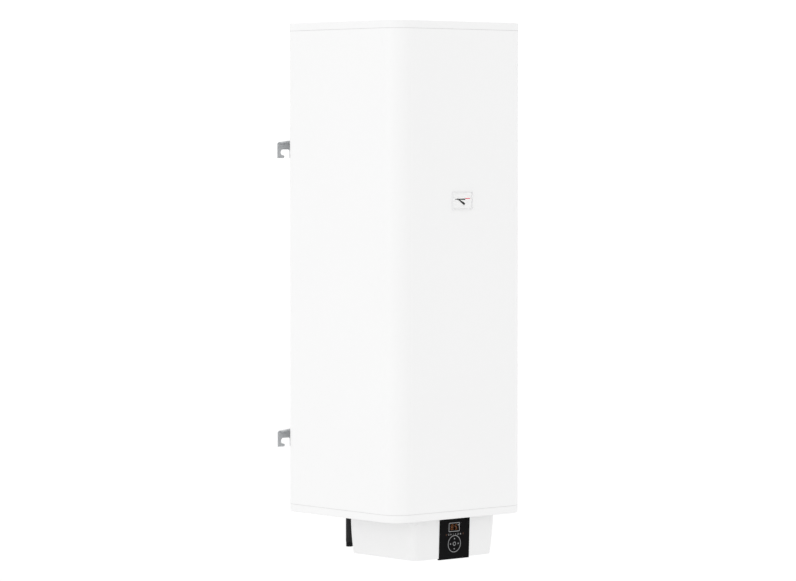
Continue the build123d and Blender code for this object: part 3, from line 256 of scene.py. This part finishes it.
# Flange fittings. The gasket is black rubber, the plate and the fasteners are zinc-plated steel
# with a brushed, slightly blue look, and six studs and nuts clamp it all to the neck.
bright_plate = surface("bright_plate", (0.62, 0.63, 0.65), 0.3, 0.02, 0.0006, 0.00004,
                       0.08, 0.9, stretch=(1.0, 1.0, 6.0))
gasket_rubber = surface("gasket_rubber", (0.03, 0.03, 0.03), 0.75, 0.01, 0.0005, 0.00008, 0.2)
dress(gasket_rubber, "flange_gasket")
dress(bright_plate, "flange_plate", "flange_studs", "flange_nuts", "anode_stud", "anode_nut")

# Heating elements, anode and sensor pocket. The hairpins have a dull nickel alloy sheath with a
# heat tint, the anode is cast magnesium with a chalky skin, and the bushes are ceramic or nylon.
element_alloy = surface("element_alloy", (0.36, 0.33, 0.3), 0.4, 0.03, 0.0008, 0.00006, 0.2, 0.85)
anode_metal = surface("anode_metal", (0.62, 0.62, 0.61), 0.65, 0.015, 0.0012, 0.0002, 0.12, 0.5)
bush_ceramic = surface("bush_ceramic", (0.86, 0.84, 0.79), 0.55, 0.006, 0.0004, 0.00005, 0.04)
bush_nylon = surface("bush_nylon", (0.8, 0.78, 0.71), 0.5, 0.008, 0.0006, 0.00004, 0.04)
dress(element_alloy, "heating_elements")
dress(bush_ceramic, "element_bushings")
dress(bright_plate, "element_pins", "sensor_pocket")
dress(anode_metal, "anode_rod")
dress(bush_nylon, "anode_bushings", "inlet_diffuser")
sensor_sleeve = surface("sensor_sleeve", (0.66, 0.38, 0.24), 0.35, 0.01, 0.0005, 0.00004,
                        0.12, 0.9, stretch=(1.0, 1.0, 5.0))
dress(sensor_sleeve, "temperature_sensor", "thermometer_capillary", "thermometer_bulb")

# Water pipes. Thick steel tube with a dark coating, welded through the lower end of the tank.
# The open end carries a cut pipe thread with a small lead-in chamfer.
THREAD_PITCH = 0.001814
THREAD_DEPTH = 0.00085
THREAD_RUN = 0.0155
THREAD_LEAD = 0.001
THREAD_FADE = 1.5 * THREAD_PITCH
THREAD_SHOULDER = 0.0005
PIPE_BORE_R = 0.008
THREAD_CREST_R = 0.0104775
PIPE_SIDES = 48
ROWS_PER_TURN = 10
pipe_coat = surface("pipe_coat", (0.010, 0.0104, 0.011), 0.42, 0.02, 0.0007, 0.00005, 0.15,
                    gloss=0.20)


def threaded_tube(name, node):
    """A tube that stands for a CAD pipe, with a helical thread cut in its lower end."""
    low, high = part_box(node)
    x = (low.x + high.x) / 2
    y = (low.y + high.y) / 2
    outer = (high.x - low.x) / 2
    rows = int(THREAD_RUN / THREAD_PITCH * ROWS_PER_TURN)
    heights = [low.z + THREAD_RUN * i / rows for i in range(rows + 1)]
    mesh = bmesh.new()
    rings = []

    def ring_of(radius_at, z):
        ring = []
        for k in range(PIPE_SIDES):
            a = 2 * pi * k / PIPE_SIDES
            r = radius_at(a)
            ring.append(mesh.verts.new((x + r * cos(a), y + r * sin(a), z)))
        rings.append(ring)

    ring_of(lambda a: PIPE_BORE_R, low.z)
    for z in heights:
        up = z - low.z
        start_r = THREAD_CREST_R - THREAD_LEAD + up
        fade = min(1.0, max(0.0, (THREAD_RUN - up) / THREAD_FADE))

        def cut(a, up=up, start_r=start_r, fade=fade):
            phase = (up / THREAD_PITCH - a / (2 * pi)) % 1.0
            crest = THREAD_CREST_R - THREAD_DEPTH * fade * abs(2 * phase - 1)
            return min(crest, start_r)

        ring_of(cut, z)
    ring_of(lambda a: outer, low.z + THREAD_RUN + THREAD_SHOULDER)
    ring_of(lambda a: outer, high.z)
    ring_of(lambda a: PIPE_BORE_R, high.z)
    skinned(mesh, rings)
    piece = finished(name, mesh, pipe_coat, "heater", 50.0)
    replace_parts(piece, node)


threaded_tube("hot_pipe_with_thread", "hot_water_pipe")
threaded_tube("cold_pipe_with_thread", "cold_water_pipe")

# Pipe grommets. Soft black rubber rings pushed into the base from below, each with a round lip
# that hugs the pipe and a flat collar in the hole.
GROMMET_LIP = 0.0009
GROMMET_ROUND = 0.0003
GROMMET_PLAY = 0.00005
GROMMET_STEPS = 64


def turned(mesh, profile, steps, place):
    """Turn a closed profile of (radius, height) points once round the axis of a place."""
    rings = []
    for i in range(steps):
        a = 2 * pi * i / steps
        rings.append([mesh.verts.new(place @ Vector((r * cos(a), r * sin(a), h)))
                      for r, h in profile])
    skinned(mesh, rings)


low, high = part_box("pipe_grommets")
grommet_r = (high.y - low.y) / 2
grommet_y = (high.y + low.y) / 2
pipe_low, pipe_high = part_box("hot_water_pipe")
fit_r = (pipe_high.x - pipe_low.x) / 2 + GROMMET_PLAY
grommets = bmesh.new()
for x in (low.x + grommet_r, high.x - grommet_r):
    profile = [
        (fit_r, high.z), (fit_r, low.z + GROMMET_LIP),
        (fit_r + GROMMET_ROUND, low.z + GROMMET_ROUND), (fit_r + GROMMET_LIP, low.z),
        (grommet_r - GROMMET_LIP, low.z), (grommet_r - GROMMET_ROUND, low.z + GROMMET_ROUND),
        (grommet_r, low.z + GROMMET_LIP), (grommet_r, high.z),
    ]
    turned(grommets, profile, GROMMET_STEPS, Matrix.Translation((x, grommet_y, 0.0)))
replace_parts(finished("rubber_grommets", grommets, gasket_rubber, "heater"),
            "pipe_grommets")

# Insulation. Rigid foam poured between tank and casing, pale yellow with fine closed cells.
# It is a closed-in piece, so its cells are a texture in the surface.
foam_fill = bpy.data.materials.new("foam_fill")
foam_nodes, foam_links, foam_shader = tree_of(foam_fill)
foam_place = foam_nodes.new("ShaderNodeTexCoord")
foam_cells = foam_nodes.new("ShaderNodeTexVoronoi")
foam_cells.inputs["Scale"].default_value = 700.0
foam_links.new(foam_place.outputs["Object"], foam_cells.inputs["Vector"])
foam_tone = graded(foam_nodes, foam_links, foam_cells.outputs["Distance"],
                   (0.88, 0.8, 0.58), (0.78, 0.68, 0.42), 0.1, 0.8)
foam_links.new(foam_tone, foam_shader.inputs["Base Color"])
foam_dull = graded(foam_nodes, foam_links, foam_cells.outputs["Distance"],
                   (0.85,) * 3, (0.95,) * 3)
foam_links.new(foam_dull, foam_shader.inputs["Roughness"])
raised(foam_nodes, foam_links, foam_shader, foam_cells.outputs["Distance"], 0.0005)
dress(foam_fill, "insulation_foam")

# Casing. A jacket of thin sheet steel, powder coated white with a faint orange peel, between two
# moulded caps in the same white. A soft pale strip fills the joint at each cap.
powder_coat = surface("powder_coat", (0.842, 0.842, 0.842), 0.42, 0.35, 0.0022, 0.000015,
                      0.004, gloss=0.42, rough_swing=0.04)
cap_moulding = surface("cap_moulding", (0.838, 0.838, 0.838), 0.46, 0.25, 0.0009, 0.00002,
                       0.004, gloss=0.42, rough_swing=0.04)
seam_strip = surface("seam_strip", (0.62, 0.62, 0.62), 0.7, 0.03, 0.0006, 0.00004, 0.05)
dress(powder_coat, "casing_jacket")
dress(cap_moulding, "top_cap", "bottom_cap")
dress(seam_strip, "top_seam_seal", "bottom_seam_seal")


def slab(mesh, low_corner, high_corner, edge):
    """A block between two corners with rounded edges."""
    made = bmesh.ops.create_cube(mesh, size=1.0)["verts"]
    low_corner = Vector(low_corner)
    high_corner = Vector(high_corner)
    middle = (low_corner + high_corner) / 2
    span = high_corner - low_corner
    for v in made:
        v.co = middle + Vector((v.co.x * span.x, v.co.y * span.y, v.co.z * span.z))
    edges = list({e for v in made for e in v.link_edges})
    bmesh.ops.bevel(mesh, geom=edges, offset=edge, segments=3, affect="EDGES", profile=0.5)


# Jacket lock seam. The sheet's two edges are hooked together and pressed flat down the middle of
# the back, which leaves a low double fold between the two joints.
SEAM_HALF_W = 0.006
SEAM_PROUD = 0.0009
SEAM_SUNK = 0.0004
SEAM_END_GAP = 0.001
FOLD_STEP = 0.004
jacket_low, jacket_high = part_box("casing_jacket")
lock_seam = bmesh.new()
seam_y = jacket_high.y - SEAM_SUNK
seam_z0 = jacket_low.z + SEAM_END_GAP
seam_z1 = jacket_high.z - SEAM_END_GAP
slab(lock_seam, (-SEAM_HALF_W, seam_y, seam_z0),
     (SEAM_HALF_W, jacket_high.y + SEAM_PROUD, seam_z1), 0.0004)
slab(lock_seam, (-SEAM_HALF_W - FOLD_STEP, seam_y, seam_z0),
     (SEAM_HALF_W, jacket_high.y + SEAM_PROUD / 2, seam_z1), 0.0002)
finished("jacket_lock_seam", lock_seam, powder_coat, "heater")

# Wall rails. Folded steel, zinc plated, cool grey with a soft spangle and a dulled edge. Box
# sections of the same steel stand them off the tank, and countersunk screws hold them.
rail_zinc = bpy.data.materials.new("rail_zinc")
zinc_nodes, zinc_links, zinc_shader = tree_of(rail_zinc)
zinc_shader.inputs["Metallic"].default_value = 0.55
zinc_place = zinc_nodes.new("ShaderNodeTexCoord")
spangle = zinc_nodes.new("ShaderNodeTexVoronoi")
spangle.inputs["Scale"].default_value = 160.0
zinc_links.new(zinc_place.outputs["Object"], spangle.inputs["Vector"])
zinc_tone = graded(zinc_nodes, zinc_links, spangle.outputs["Distance"],
                   (0.475, 0.488, 0.50), (0.535, 0.548, 0.56), 0.1, 0.9)
zinc_links.new(zinc_tone, zinc_shader.inputs["Base Color"])
zinc_fine = grain_at(zinc_nodes, zinc_links, 0.0009, 5.0)
zinc_dull = graded(zinc_nodes, zinc_links, zinc_fine, (0.4,) * 3, (0.55,) * 3)
zinc_links.new(zinc_dull, zinc_shader.inputs["Roughness"])
raised(zinc_nodes, zinc_links, zinc_shader, zinc_fine, 0.00003)
dress(rail_zinc, "upper_wall_rail", "lower_wall_rail", "rail_standoffs")
dress(bright_plate, "rail_screws")

# Thermometer. A white moulded tray holds a printed white dial under a thin clear window. Its
# works, capillary and bulb are behind the jacket, and only the needle turns.
tray_moulding = surface("tray_moulding", (0.84, 0.84, 0.845), 0.4, 0.02, 0.0005, 0.00001,
                        0.008)
dial_print = surface("dial_print", (0.885, 0.885, 0.885), 0.5, 0.03, 0.0004, 0.000005, 0.004)
dress(tray_moulding, "thermometer_bezel")
dress(dial_print, "thermometer_dial")
works_case = surface("works_case", (0.5, 0.51, 0.52), 0.5, 0.01, 0.0006, 0.00004, 0.06)
dress(works_case, "thermometer_gauge")
needle_paint = surface("needle_paint", (0.012, 0.012, 0.012), 0.45, 0.004, 0.0002, 0.00001,
                       0.2, gloss=0.1)
dress(needle_paint, "thermometer_needle")
SKIN_BLEND = 0.02


def clear_pane(name, tint, gloss_colour, wave):
    """A pane that lets light straight through, with a mirror skin that grows at a slant."""
    material = bpy.data.materials.new(name)
    nodes_, links_, shader = tree_of(material)
    nodes_.remove(shader)
    through = nodes_.new("ShaderNodeBsdfTransparent")
    through.inputs["Color"].default_value = (*tint, 1.0)
    skin = nodes_.new("ShaderNodeBsdfGlossy")
    skin.inputs["Color"].default_value = (*gloss_colour, 1.0)
    ripple = grain_at(nodes_, links_, wave, 2.0)
    links_.new(graded(nodes_, links_, ripple, (0.04,) * 3, (0.1,) * 3), skin.inputs["Roughness"])
    slant = nodes_.new("ShaderNodeLayerWeight")
    slant.inputs["Blend"].default_value = SKIN_BLEND
    both = nodes_.new("ShaderNodeMixShader")
    links_.new(slant.outputs["Facing"], both.inputs["Fac"])
    links_.new(through.outputs["BSDF"], both.inputs[1])
    links_.new(skin.outputs["BSDF"], both.inputs[2])
    links_.new(both.outputs["Shader"], nodes_["Material Output"].inputs["Surface"])
    return material


dial_window = clear_pane("dial_window", (0.985, 0.985, 0.985), (1.0, 1.0, 1.0), 0.02)
dress(dial_window, "thermometer_lens")


def plate(mesh, outline, place, thick):
    """A thin plate of an outline, its back on the place's plane and its front a bit nearer."""
    back = [mesh.verts.new(place(x, h, 0.0)) for x, h in outline]
    front = [mesh.verts.new(place(x, h, thick)) for x, h in outline]
    mesh.faces.new(back[::-1])
    mesh.faces.new(front)
    count = len(outline)
    for k in range(count):
        n = (k + 1) % count
        mesh.faces.new((back[k], back[n], front[n], front[k]))


# Dial printing. A black band that swells towards the hot side, short division marks above it,
# and a red band for the hottest stretch. Each is a thin layer of ink on the dial.
INK = 0.00006
dial_low, dial_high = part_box("thermometer_dial")
dial_face_y = dial_low.y
dial_mid_x = (dial_low.x + dial_high.x) / 2
dial_mid_z = (dial_low.z + dial_high.z) / 2


def on_dial(x, h, out):
    """A point on the dial: across, up from its middle and out from its face."""
    return Vector((dial_mid_x + x, dial_face_y - out, dial_mid_z + h))


scale_ink = surface("scale_ink", (0.014, 0.014, 0.014), 0.6, 0.004, 0.0002, 0.000005, 0.2,
                    gloss=0.25)
red_ink = surface("red_ink", (0.80, 0.045, 0.10), 0.55, 0.004, 0.0002, 0.000005, 0.08,
                  gloss=0.3)
BAND_LEFT = -0.0277
BAND_RIGHT = 0.0105
BAND_TOP = 0.0062
HOT_LEFT = BAND_RIGHT + 0.0001
HOT_RIGHT = 0.0297
HOT_TOP = BAND_TOP + 0.0010
TICKS = 9
TICK_HALF_W = 0.0003
TICK_H = 0.0012
band = bmesh.new()
plate(band, [(BAND_LEFT, BAND_TOP - 0.0033), (BAND_RIGHT, BAND_TOP - 0.0042),
             (BAND_RIGHT, BAND_TOP - 0.0002), (BAND_LEFT, BAND_TOP - 0.0014)], on_dial, INK)
for i in range(TICKS):
    x = BAND_LEFT + (BAND_RIGHT - BAND_LEFT) * (i + 0.5) / TICKS
    plate(band, [(x - TICK_HALF_W, BAND_TOP), (x + TICK_HALF_W, BAND_TOP),
                 (x + TICK_HALF_W, BAND_TOP + TICK_H), (x - TICK_HALF_W, BAND_TOP + TICK_H)],
          on_dial, INK)
finished("dial_black_band", band, scale_ink, "heater")
hot_band = bmesh.new()
plate(hot_band, [(HOT_LEFT, BAND_TOP - 0.0014), (HOT_RIGHT, BAND_TOP - 0.0011),
                 (HOT_RIGHT, HOT_TOP), (HOT_LEFT, HOT_TOP)], on_dial, INK)
finished("dial_red_band", hot_band, red_ink, "heater")

# Lower cover. A white moulded tray screwed to the base, with sides that curve in towards the
# bottom and a sunk bed for the control panel.
# Its white is a shade greyer than the casing's. That grey is painted shade, standing in for the
# shade that falls on the cover under the heater's body.
cover_white_painted_shade = surface("cover_white_painted_shade", (0.804, 0.804, 0.804), 0.45, 0.15, 0.0008, 0.00002,
                      0.005, gloss=0.42, rough_swing=0.04)
dress(cover_white_painted_shade, "lower_cover")
dress(bright_plate, "cover_screws")

# Control panel. Black moulding with a fine texture, let into the cover and hooked round its lower
# edge. Everything on it is placed in the panel's own leaning plane.
panel_black = surface("panel_black", (0.0045, 0.0045, 0.0048), 0.34, 0.02, 0.0004, 0.000008,
                      0.12, gloss=0.03)
key_black = surface("key_black", (0.0045, 0.0045, 0.0048), 0.38, 0.01, 0.0003, 0.000008,
                    0.12, gloss=0.03)
dress(panel_black, "control_panel")
dress(key_black, "key_up", "key_down", "key_left", "key_right", "key_centre")
press = next(j for j in frame["joints"] if j["name"] == "key_centre_press")
inward = Vector(press["axis"]).normalized()
up_face = Vector((0.0, -inward.z, inward.y))
panel_depth = min(inward.dot(v.co) for v in nodes["control_panel"].data.vertices)
key_depth = min(inward.dot(v.co) for v in nodes["key_centre"].data.vertices)
module_depth = min(inward.dot(v.co) for v in nodes["display_module"].data.vertices)


def face_height(node):
    """How far up the panel's plane a node's middle is."""
    low_corner, high_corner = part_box(node)
    return up_face.dot((low_corner + high_corner) / 2)


def layer(depth, across=0.0, up=0.0):
    """A placing function for plates on one of the panel's planes."""
    def place(x, h, out):
        return (Vector((across + x, 0.0, 0.0)) + up_face * (up + h)
                + inward * (depth - out))
    return place


# Panel printing. A light grey frame round the window, a ring line round the keys and a row of
# small signs between them, with an orange lamp at each end of the row.
light_print = surface("light_print", (0.265, 0.268, 0.272), 0.5, 0.005, 0.0003, 0.000005, 0.04)
RING_SIDES = 96
SMALL_RING_SIDES = 24
RING_OUTER_R = 0.0249
RING_INNER_R = 0.0231
FRAME_X = -0.0018
FRAME_UP = 0.0005
window_up = face_height("display_window")
keys_up = face_height("key_centre")


def round_band(mesh, place, outer, inner, sides=RING_SIDES):
    """A flat ring of ink."""
    rings = []
    for r, out in ((inner, 0.0), (outer, 0.0), (outer, INK), (inner, INK)):
        rings.append([mesh.verts.new(place(r * cos(2 * pi * k / sides),
                                           r * sin(2 * pi * k / sides), out))
                      for k in range(sides)])
    skinned(mesh, rings)


def rounded_outline(half_w, half_h, radius, steps=6):
    """The points of a rectangle with round corners."""
    points = []
    for cx, cy, start in ((1, 1, 0), (-1, 1, 90), (-1, -1, 180), (1, -1, 270)):
        for i in range(steps + 1):
            a = radians(start + 90 * i / steps)
            points.append((cx * (half_w - radius) + radius * cos(a),
                           cy * (half_h - radius) + radius * sin(a)))
    return points


ring_line = bmesh.new()
round_band(ring_line, layer(panel_depth, 0.0, keys_up), RING_OUTER_R, RING_INNER_R)
finished("key_ring_line", ring_line, light_print, "heater")

frame_line = bmesh.new()
outer_line = rounded_outline(0.0212, 0.0131, 0.0020)
inner_line = rounded_outline(0.0193, 0.0114, 0.0010)
on_window = layer(panel_depth, FRAME_X, window_up + FRAME_UP)
frame_rings = []
for outline, out in ((inner_line, 0.0), (outer_line, 0.0), (outer_line, INK), (inner_line, INK)):
    frame_rings.append([frame_line.verts.new(on_window(x, h, out)) for x, h in outline])
skinned(frame_line, frame_rings)
finished("window_frame_line", frame_line, light_print, "heater")

SIGN_UP = 0.0278
RING_SIGN_X = -0.0225
BAR_HALF_W = 0.0004
BAR_HALF_H = 0.0021
on_signs = layer(panel_depth, 0.0, keys_up + SIGN_UP)
signs = bmesh.new()


def bar(mesh, place, x, h, half_w, half_h):
    """A small upright rectangle of ink."""
    plate(mesh, [(x - half_w, h - half_h), (x + half_w, h - half_h),
                 (x + half_w, h + half_h), (x - half_w, h + half_h)], place, INK)


round_band(signs, layer(panel_depth, RING_SIGN_X, keys_up + SIGN_UP), 0.0026, 0.0019,
           SMALL_RING_SIDES)
bar(signs, on_signs, RING_SIGN_X, 0.0007, 0.0003, 0.0009)
for i in range(3):
    bar(signs, on_signs, -0.0162 + 0.0020 * i, 0.0, BAR_HALF_W, 0.0024 - 0.0006 * i)
for x in (-0.0047, 0.0034, 0.0052):
    bar(signs, on_signs, x, 0.0, BAR_HALF_W, BAR_HALF_H)
for h in (-0.0018, 0.0, 0.0018):
    bar(signs, on_signs, 0.0137, h, 0.0024, BAR_HALF_W)
plate(signs, [(0.0211, -0.0020), (0.0251, -0.0020), (0.0251, 0.0003), (0.0231, 0.0023),
              (0.0211, 0.0003)], on_signs, INK)
finished("panel_signs", signs, light_print, "heater")

lamp_amber = surface("lamp_amber", (0.09, 0.035, 0.012), 0.5, 0.002, 0.0002, 0.000005, 0.1,
                     gloss=0.2)
end_lamps = bmesh.new()
for x in (-0.0322, 0.0335):
    bar(end_lamps, on_signs, x, 0.0, 0.0010, 0.0026)
finished("sign_end_lamps", end_lamps, lamp_amber, "heater")

# Display. A black digit module behind a smoked window. Its lit segments are orange, slanted a
# little, and a small pale ring beside them marks degrees;
# the ring is no lamp, and its glow is painted light.
smoked_pane = clear_pane("smoked_pane", (0.72, 0.72, 0.72), (0.25, 0.25, 0.25), 0.015)
module_black = surface("module_black", (0.006, 0.006, 0.006), 0.6, 0.01, 0.0003, 0.00002, 0.2,
                       gloss=0.08)
dress(smoked_pane, "display_window")
dress(module_black, "display_module")


def lit(name, colour):
    """A glowing finish whose brightness drifts a little from place to place."""
    material = bpy.data.materials.new(name)
    nodes_, links_, shader = tree_of(material)
    shader.inputs["Roughness"].default_value = 0.6
    shader.inputs["Specular IOR Level"].default_value = 0.1
    glow = grain_at(nodes_, links_, 0.003, 2.0)
    low_tone = [c * 0.85 for c in colour]
    tone = graded(nodes_, links_, glow, low_tone, colour)
    links_.new(tone, shader.inputs["Emission Color"])
    shader.inputs["Base Color"].default_value = (0.01, 0.006, 0.003, 1.0)
    shader.inputs["Emission Strength"].default_value = 1.0
    return material


segment_orange = lit("segment_orange", (0.42, 0.15, 0.05))
# The pale degree ring gets a painted glow of its own. It is no lit segment.
degree_ring_painted_glow = lit("degree_ring_painted_glow", (0.9, 0.9, 0.9))
DIGIT_HALF_W = 0.0032
DIGIT_HALF_H = 0.0072
STROKE = 0.0008
STROKE_GAP = 0.35 * STROKE
SEGMENT_THICK = 0.0002
SLANT = 0.10
DEGREE_X = 0.0172
DEGREE_UP = 0.0056
SEGMENTS = {"8": "abcdefg", "5": "acdfg"}


def digit(mesh, place, figure, middle):
    """A seven-segment figure about a middle."""
    w = DIGIT_HALF_W
    h = DIGIT_HALF_H
    ends = {
        "a": ((-w, h), (w, h)), "g": ((-w, 0), (w, 0)), "d": ((-w, -h), (w, -h)),
        "f": ((-w, 0), (-w, h)), "b": ((w, 0), (w, h)),
        "e": ((-w, -h), (-w, 0)), "c": ((w, -h), (w, 0)),
    }
    for segment in SEGMENTS[figure]:
        a = Vector(ends[segment][0])
        b = Vector(ends[segment][1])
        along = (b - a).normalized()
        side = Vector((-along.y, along.x)) * STROKE
        a += along * STROKE_GAP
        b -= along * STROKE_GAP
        point = along * STROKE
        outline = [a, a + point - side, b - point - side, b, b - point + side,
                   a + point + side]
        plate(mesh, [(middle + p.x + SLANT * p.y, p.y) for p in outline], place,
              SEGMENT_THICK)


digits = bmesh.new()
on_module = layer(module_depth, 0.0, window_up)
digit(digits, on_module, "8", -0.0071)
digit(digits, on_module, "5", 0.0084)
finished("display_digits", digits, segment_orange, "heater")
degree = bmesh.new()
round_band(degree, layer(module_depth, DEGREE_X, window_up + DEGREE_UP), 0.0021, 0.0010,
           SMALL_RING_SIDES)
finished("display_degree_mark", degree, degree_ring_painted_glow, "heater")

# Key signs. Each key carries its own printed sign in pale ink, an arrowhead on the four outer
# keys and a ring on the middle one, so that a sign travels with its key.
KEY_SIGNS = [("up", 0, 1), ("down", 0, -1), ("left", -1, 0), ("right", 1, 0)]
ARROW_TIP = 0.0027
ARROW_TAIL = 0.0016
ARROW_WING = 0.0030
for way, dx, dh in KEY_SIGNS:
    key_low, key_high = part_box("key_" + way)
    place = layer(key_depth, (key_low.x + key_high.x) / 2, face_height("key_" + way))
    arrow = bmesh.new()
    points = [(ARROW_TIP * dx, ARROW_TIP * dh),
              (-ARROW_TAIL * dx - ARROW_WING * dh, -ARROW_TAIL * dh + ARROW_WING * dx),
              (-ARROW_TAIL * dx + ARROW_WING * dh, -ARROW_TAIL * dh - ARROW_WING * dx)]
    plate(arrow, points, place, INK)
    finished("key_sign_" + way, arrow, light_print, "key_" + way + "_cap")
centre_sign = bmesh.new()
on_centre = layer(key_depth, 0.0, keys_up)
round_band(centre_sign, on_centre, 0.0058, 0.0041, 64)
finished("key_sign_centre", centre_sign, light_print, "key_centre_cap")

# Electronics. Green lacquered boards with an uneven sheen, black key switches, blue relays,
# and a zinc-plated bracket that hangs them from the base.
board_green = surface("board_green", (0.03, 0.2, 0.09), 0.35, 0.01, 0.0008, 0.00003, 0.15)
relay_case = surface("relay_case", (0.05, 0.16, 0.45), 0.4, 0.01, 0.0005, 0.00003, 0.06)
switch_black = surface("switch_black", (0.02, 0.02, 0.02), 0.5, 0.004, 0.0003, 0.00003, 0.15)
clamp_nylon = surface("clamp_nylon", (0.55, 0.56, 0.57), 0.5, 0.01, 0.0007, 0.00004, 0.05)
button_red = surface("button_red", (0.65, 0.05, 0.04), 0.38, 0.003, 0.0003, 0.00002, 0.08)
wire_sheath = surface("wire_sheath", (0.2, 0.09, 0.05), 0.5, 0.008, 0.0005, 0.00003, 0.12)
dress(board_green, "control_board", "power_board")
dress(relay_case, "power_relays")
dress(switch_black, "key_switches", "safety_cutout")
dress(rail_zinc, "board_bracket")
dress(clamp_nylon, "terminal_block")
dress(button_red, "reset_button")
dress(wire_sheath, "element_leads", "sensor_lead")

# Cable gland. Grey nylon, clamped through the cover's back by a nut inside. The hexagon takes a
# spanner, and the dome nut beyond it has grip flutes and an open bore for a cable.
FLUTES = 18
DOME_STEPS = 108
gland_low, gland_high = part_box("cable_gland")
gland_x = (gland_low.x + gland_high.x) / 2
gland_z = (gland_low.z + gland_high.z) / 2
hex_r = (gland_high.x - gland_low.x) / 2
GLAND_BORE_R = 0.00525
HEX_DEPTH = 0.009
HEX_TRIM = 0.0012
HEX_BEVEL = 0.001
DOME_R = 0.011
FLUTE_DEPTH = 0.0007
NECK_R = 0.0099
MOUTH_ROUND = 0.0012


def gland_ring(mesh, rings, radius_at, y):
    """One ring of points round the gland's axis."""
    ring = []
    for k in range(DOME_STEPS):
        a = 2 * pi * k / DOME_STEPS
        r = radius_at(a)
        ring.append(mesh.verts.new((gland_x + r * cos(a), y, gland_z + r * sin(a))))
    rings.append(ring)


def hexagon_at(trim):
    """The radius of a hexagon's outline, with its corners trimmed to a circle."""
    def radius(a):
        flat = hex_r * cos(pi / 6)
        return min(flat / cos((a % (pi / 3)) - pi / 6), hex_r - trim)
    return radius


def fluted(depth):
    """The radius of the dome's gripped outside."""
    return lambda a: DOME_R - depth * (0.5 + 0.5 * cos(FLUTES * a))


gland = bmesh.new()
gland_rings = []
back_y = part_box("lower_cover")[1].y
tip_y = gland_high.y
for radius_at, y in (
    (lambda a: GLAND_BORE_R, gland_low.y), (lambda a: NECK_R, gland_low.y),
    (lambda a: NECK_R, back_y), (hexagon_at(0.0), back_y),
    (hexagon_at(0.0), back_y + HEX_DEPTH - HEX_BEVEL),
    (hexagon_at(HEX_TRIM), back_y + HEX_DEPTH), (fluted(0.0), back_y + HEX_DEPTH),
    (fluted(FLUTE_DEPTH), back_y + HEX_DEPTH + 0.0012),
    (fluted(FLUTE_DEPTH), tip_y - 0.0045), (lambda a: DOME_R - 0.0008, tip_y - 0.0032),
    (lambda a: DOME_R - 0.0030, tip_y), (lambda a: GLAND_BORE_R + MOUTH_ROUND, tip_y),
    (lambda a: GLAND_BORE_R, tip_y - MOUTH_ROUND),
):
    gland_ring(gland, gland_rings, radius_at, y)
skinned(gland, gland_rings)
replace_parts(finished("fluted_gland", gland, clamp_nylon, "heater"), "cable_gland")
dress(clamp_nylon, "gland_nut")
